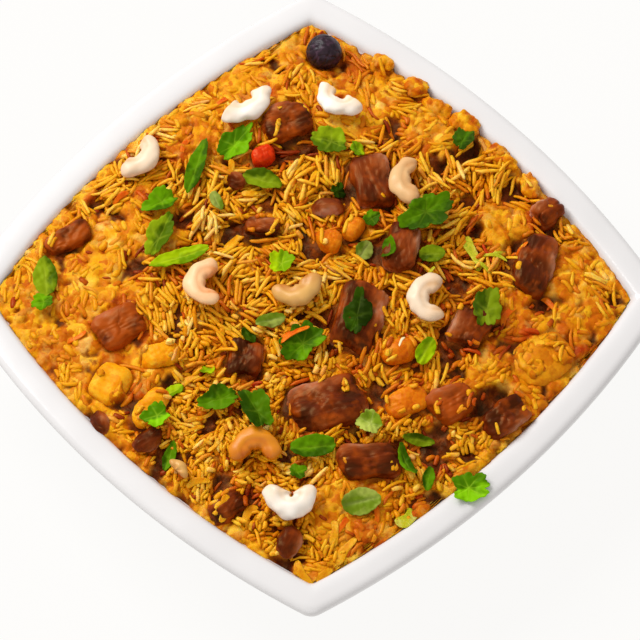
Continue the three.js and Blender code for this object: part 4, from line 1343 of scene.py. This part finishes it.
def make_rim_lumps():
    """The soft lumps over the rim's inner edge: flattened ovals with ragged edges and a crumbly top."""
    ball = directions(24, 44)
    grids, tints = [], []
    for seed, (across, away, half_length, half_width) in enumerate(RIM_LUMPS):
        x, y = place(across, away)
        heading = np.arctan2(y, x) + np.pi / 2
        body = ball * np.array([half_length * MM, half_width * MM, LUMP_RISE])
        body *= 1 + 0.12 * ripple(body, 9 * MM, 70 + seed)[..., None]
        body += ball * (0.5 * MM * ripple(body, 3.5 * MM, 80 + seed))[..., None]
        ahead = np.array([np.cos(heading), np.sin(heading), 0])
        axes = np.stack([ahead, [-ahead[1], ahead[0], 0], [0, 0, 1]])
        grids.append(np.array([x, y, DISH_HEIGHT + 0.35 * LUMP_RISE]) + body @ axes)
        tints.append(rice_shade(0.5 + 0.16 * ripple(body, 6 * MM, 90 + seed)))
    attributes = {"tint": np.stack(tints), "bare": even(0)}
    mesh = join_grids("rice_lumps", np.stack(grids), attributes)
    piece("rice_lumps", mesh, bpy.data.materials["rice_body"], "rice")


def make_shreds(heap, name, rows, finish, over=0.72, lift=-0.5):
    """Limp strips: a flat oval section carried along a line that bends to one side and droops at both
    ends, with both long edges curled up. Each lies over the share over of the ground under it, with its
    middle raised by lift, in millimetres."""
    share = np.linspace(-0.98, 0.98, 15)[:, None]
    around = np.linspace(0, 2 * np.pi, 12, endpoint=False)
    grids, owns = [], []
    for seed, (across, away, turn, length, width) in enumerate(rows):
        middle, axes = lain_frame(heap, across, away, turn, 0.3 * length * MM, over)
        taper = (1 - np.abs(share) ** 6) ** 0.5 * (1 + 0.15 * np.sin(3 * share + seed))
        off = width / 2 * MM * taper * np.cos(around)
        bow = 0.09 * length * MM * np.sin(2.2 * share + seed)
        curl = 0.4 * MM * np.cos(around) ** 2
        up = 0.6 * MM * taper * np.sin(around) + curl - 1.0 * MM * share**2 + lift * MM
        body = np.stack([share * length / 2 * MM + 0 * off, off + bow, up], -1)
        grids.append(middle + body @ axes)
        owns.append(body)
    mesh = join_grids(name, np.stack(grids), {"own": np.stack(owns), "toast_and_shade": even(0.2)})
    piece(name, mesh, finish, "potato")


def make_all_shreds(heap):
    green = vegetable_finish("cabbage", srgb(150, 158, 14), srgb(190, 184, 36), srgb(222, 212, 110), 0.4)
    yellow = vegetable_finish("soft_onion", srgb(200, 120, 6), srgb(222, 152, 14), srgb(238, 186, 64), 0.38)
    orange = vegetable_finish("carrot_shred", srgb(196, 70, 4), srgb(218, 100, 6), srgb(232, 132, 24), 0.36)
    make_shreds(heap, "cabbage_shreds", GREEN_SHREDS, green)
    make_shreds(heap, "onion_shreds", YELLOW_SHREDS, yellow)
    make_shreds(heap, "carrot_shreds", ORANGE_SHREDS, orange)
    # The thin pale curl on the carrot piece.
    white = cashew_finish("pale_curl", srgb(240, 218, 172), srgb(226, 190, 130))
    make_shreds(heap, "pale_curl_shreds", WHITE_SHREDS, white, over=1, lift=0.4)


# ---- Camera, light and floor ----

PICTURE = 640  # the picture's width and height in pixels
VIEW_SCALE = 2.022 / MM  # pixels to a metre
VIEW_ELEVATION = np.radians(61)
VIEW_TURN = np.radians(45)
VIEW_DISTANCE = 4.0
RIM_MIDDLE = (311.6, 296)  # the pixel that the middle of the rim falls on


def aim(thing, target):
    thing.rotation_euler = (Vector(target) - thing.location).to_track_quat("-Z", "Y").to_euler()


def make_camera():
    """A long lens from over the near corner, aimed so that the rim's middle falls where it should."""
    level = np.cos(VIEW_ELEVATION)
    back = np.array([np.sin(VIEW_TURN) * level, -np.cos(VIEW_TURN) * level, np.sin(VIEW_ELEVATION)])
    right = np.array([np.cos(VIEW_TURN), np.sin(VIEW_TURN), 0])
    up = np.cross(back, right)
    shift = right * (PICTURE / 2 - RIM_MIDDLE[0]) - up * (PICTURE / 2 - RIM_MIDDLE[1])
    target = np.array([0, 0, DISH_HEIGHT]) + shift / VIEW_SCALE
    data = bpy.data.cameras.new("camera")
    camera = add("camera", data)
    camera.location = Vector(target + back * VIEW_DISTANCE)
    data.lens = data.sensor_width * VIEW_DISTANCE * VIEW_SCALE / PICTURE
    data.clip_end = 20
    aim(camera, target)
    bpy.context.scene.camera = camera


def add_light(name, spot, size, power, colour=(1, 1, 1)):
    data = bpy.data.lights.new(name, "AREA")
    data.size, data.energy, data.color = size, power, colour
    light = add(name, data)
    light.location = spot
    aim(light, (0, 0, 0.05))


def make_stage():
    mesh = bpy.data.meshes.new("floor")
    mesh.from_pydata([(-6, -6, 0), (6, -6, 0), (6, 6, 0), (-6, 6, 0)], [], [(0, 1, 2, 3)])
    floor = add("floor", mesh)
    white = Finish("floor_white", 0.9, Base_Color=(0.05, 0.0495, 0.049, 1), Specular_IOR_Level=0.1)
    white.set("Emission Color", (1, 0.99, 0.972, 1))
    white.set("Emission Strength", 0.92)
    mesh.materials.append(white.material)
    world = bpy.data.worlds.new("studio")
    bpy.context.scene.world = world
    world.use_nodes = True
    world.node_tree.nodes["Background"].inputs["Color"].default_value = (1, 0.99, 0.975, 1)
    world.node_tree.nodes["Background"].inputs["Strength"].default_value = 0.58
    add_light("key", (-1.5, -0.1, 1.7), 1.2, 47)
    add_light("fill", (1.2, -1.2, 1.6), 1.6, 6)
    bpy.context.scene.view_settings.view_transform = "Standard"


# ---- The whole ----

make_camera()
make_stage()
make_dish()
make_chunks()
make_cashews()
leaf_shades = {key: leaf_finish("leaf_" + key, *trio) for key, trio in LEAF_SHADES.items()}
make_leaves(leaf_shades)

heap = HeightMap()
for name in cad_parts:
    kind = name.split("_")[0]
    if kind in SHOWN:
        heap.sink(cloud(solid_faces(name), 24), SHOWN.get(name, SHOWN[kind]))
    elif kind in ("cashew", "leaf"):
        heap.roof(cloud(solid_faces(name), 24))
heap.cover_chunks()
for row in RIM_LUMPS:
    heap.shelve(*row)
make_soft_skin(heap)
make_core(heap)
make_grains(heap)
make_leaf_bits(heap, leaf_shades)
make_crumbs(heap)
make_rim_lumps()
make_all_shreds(heap)
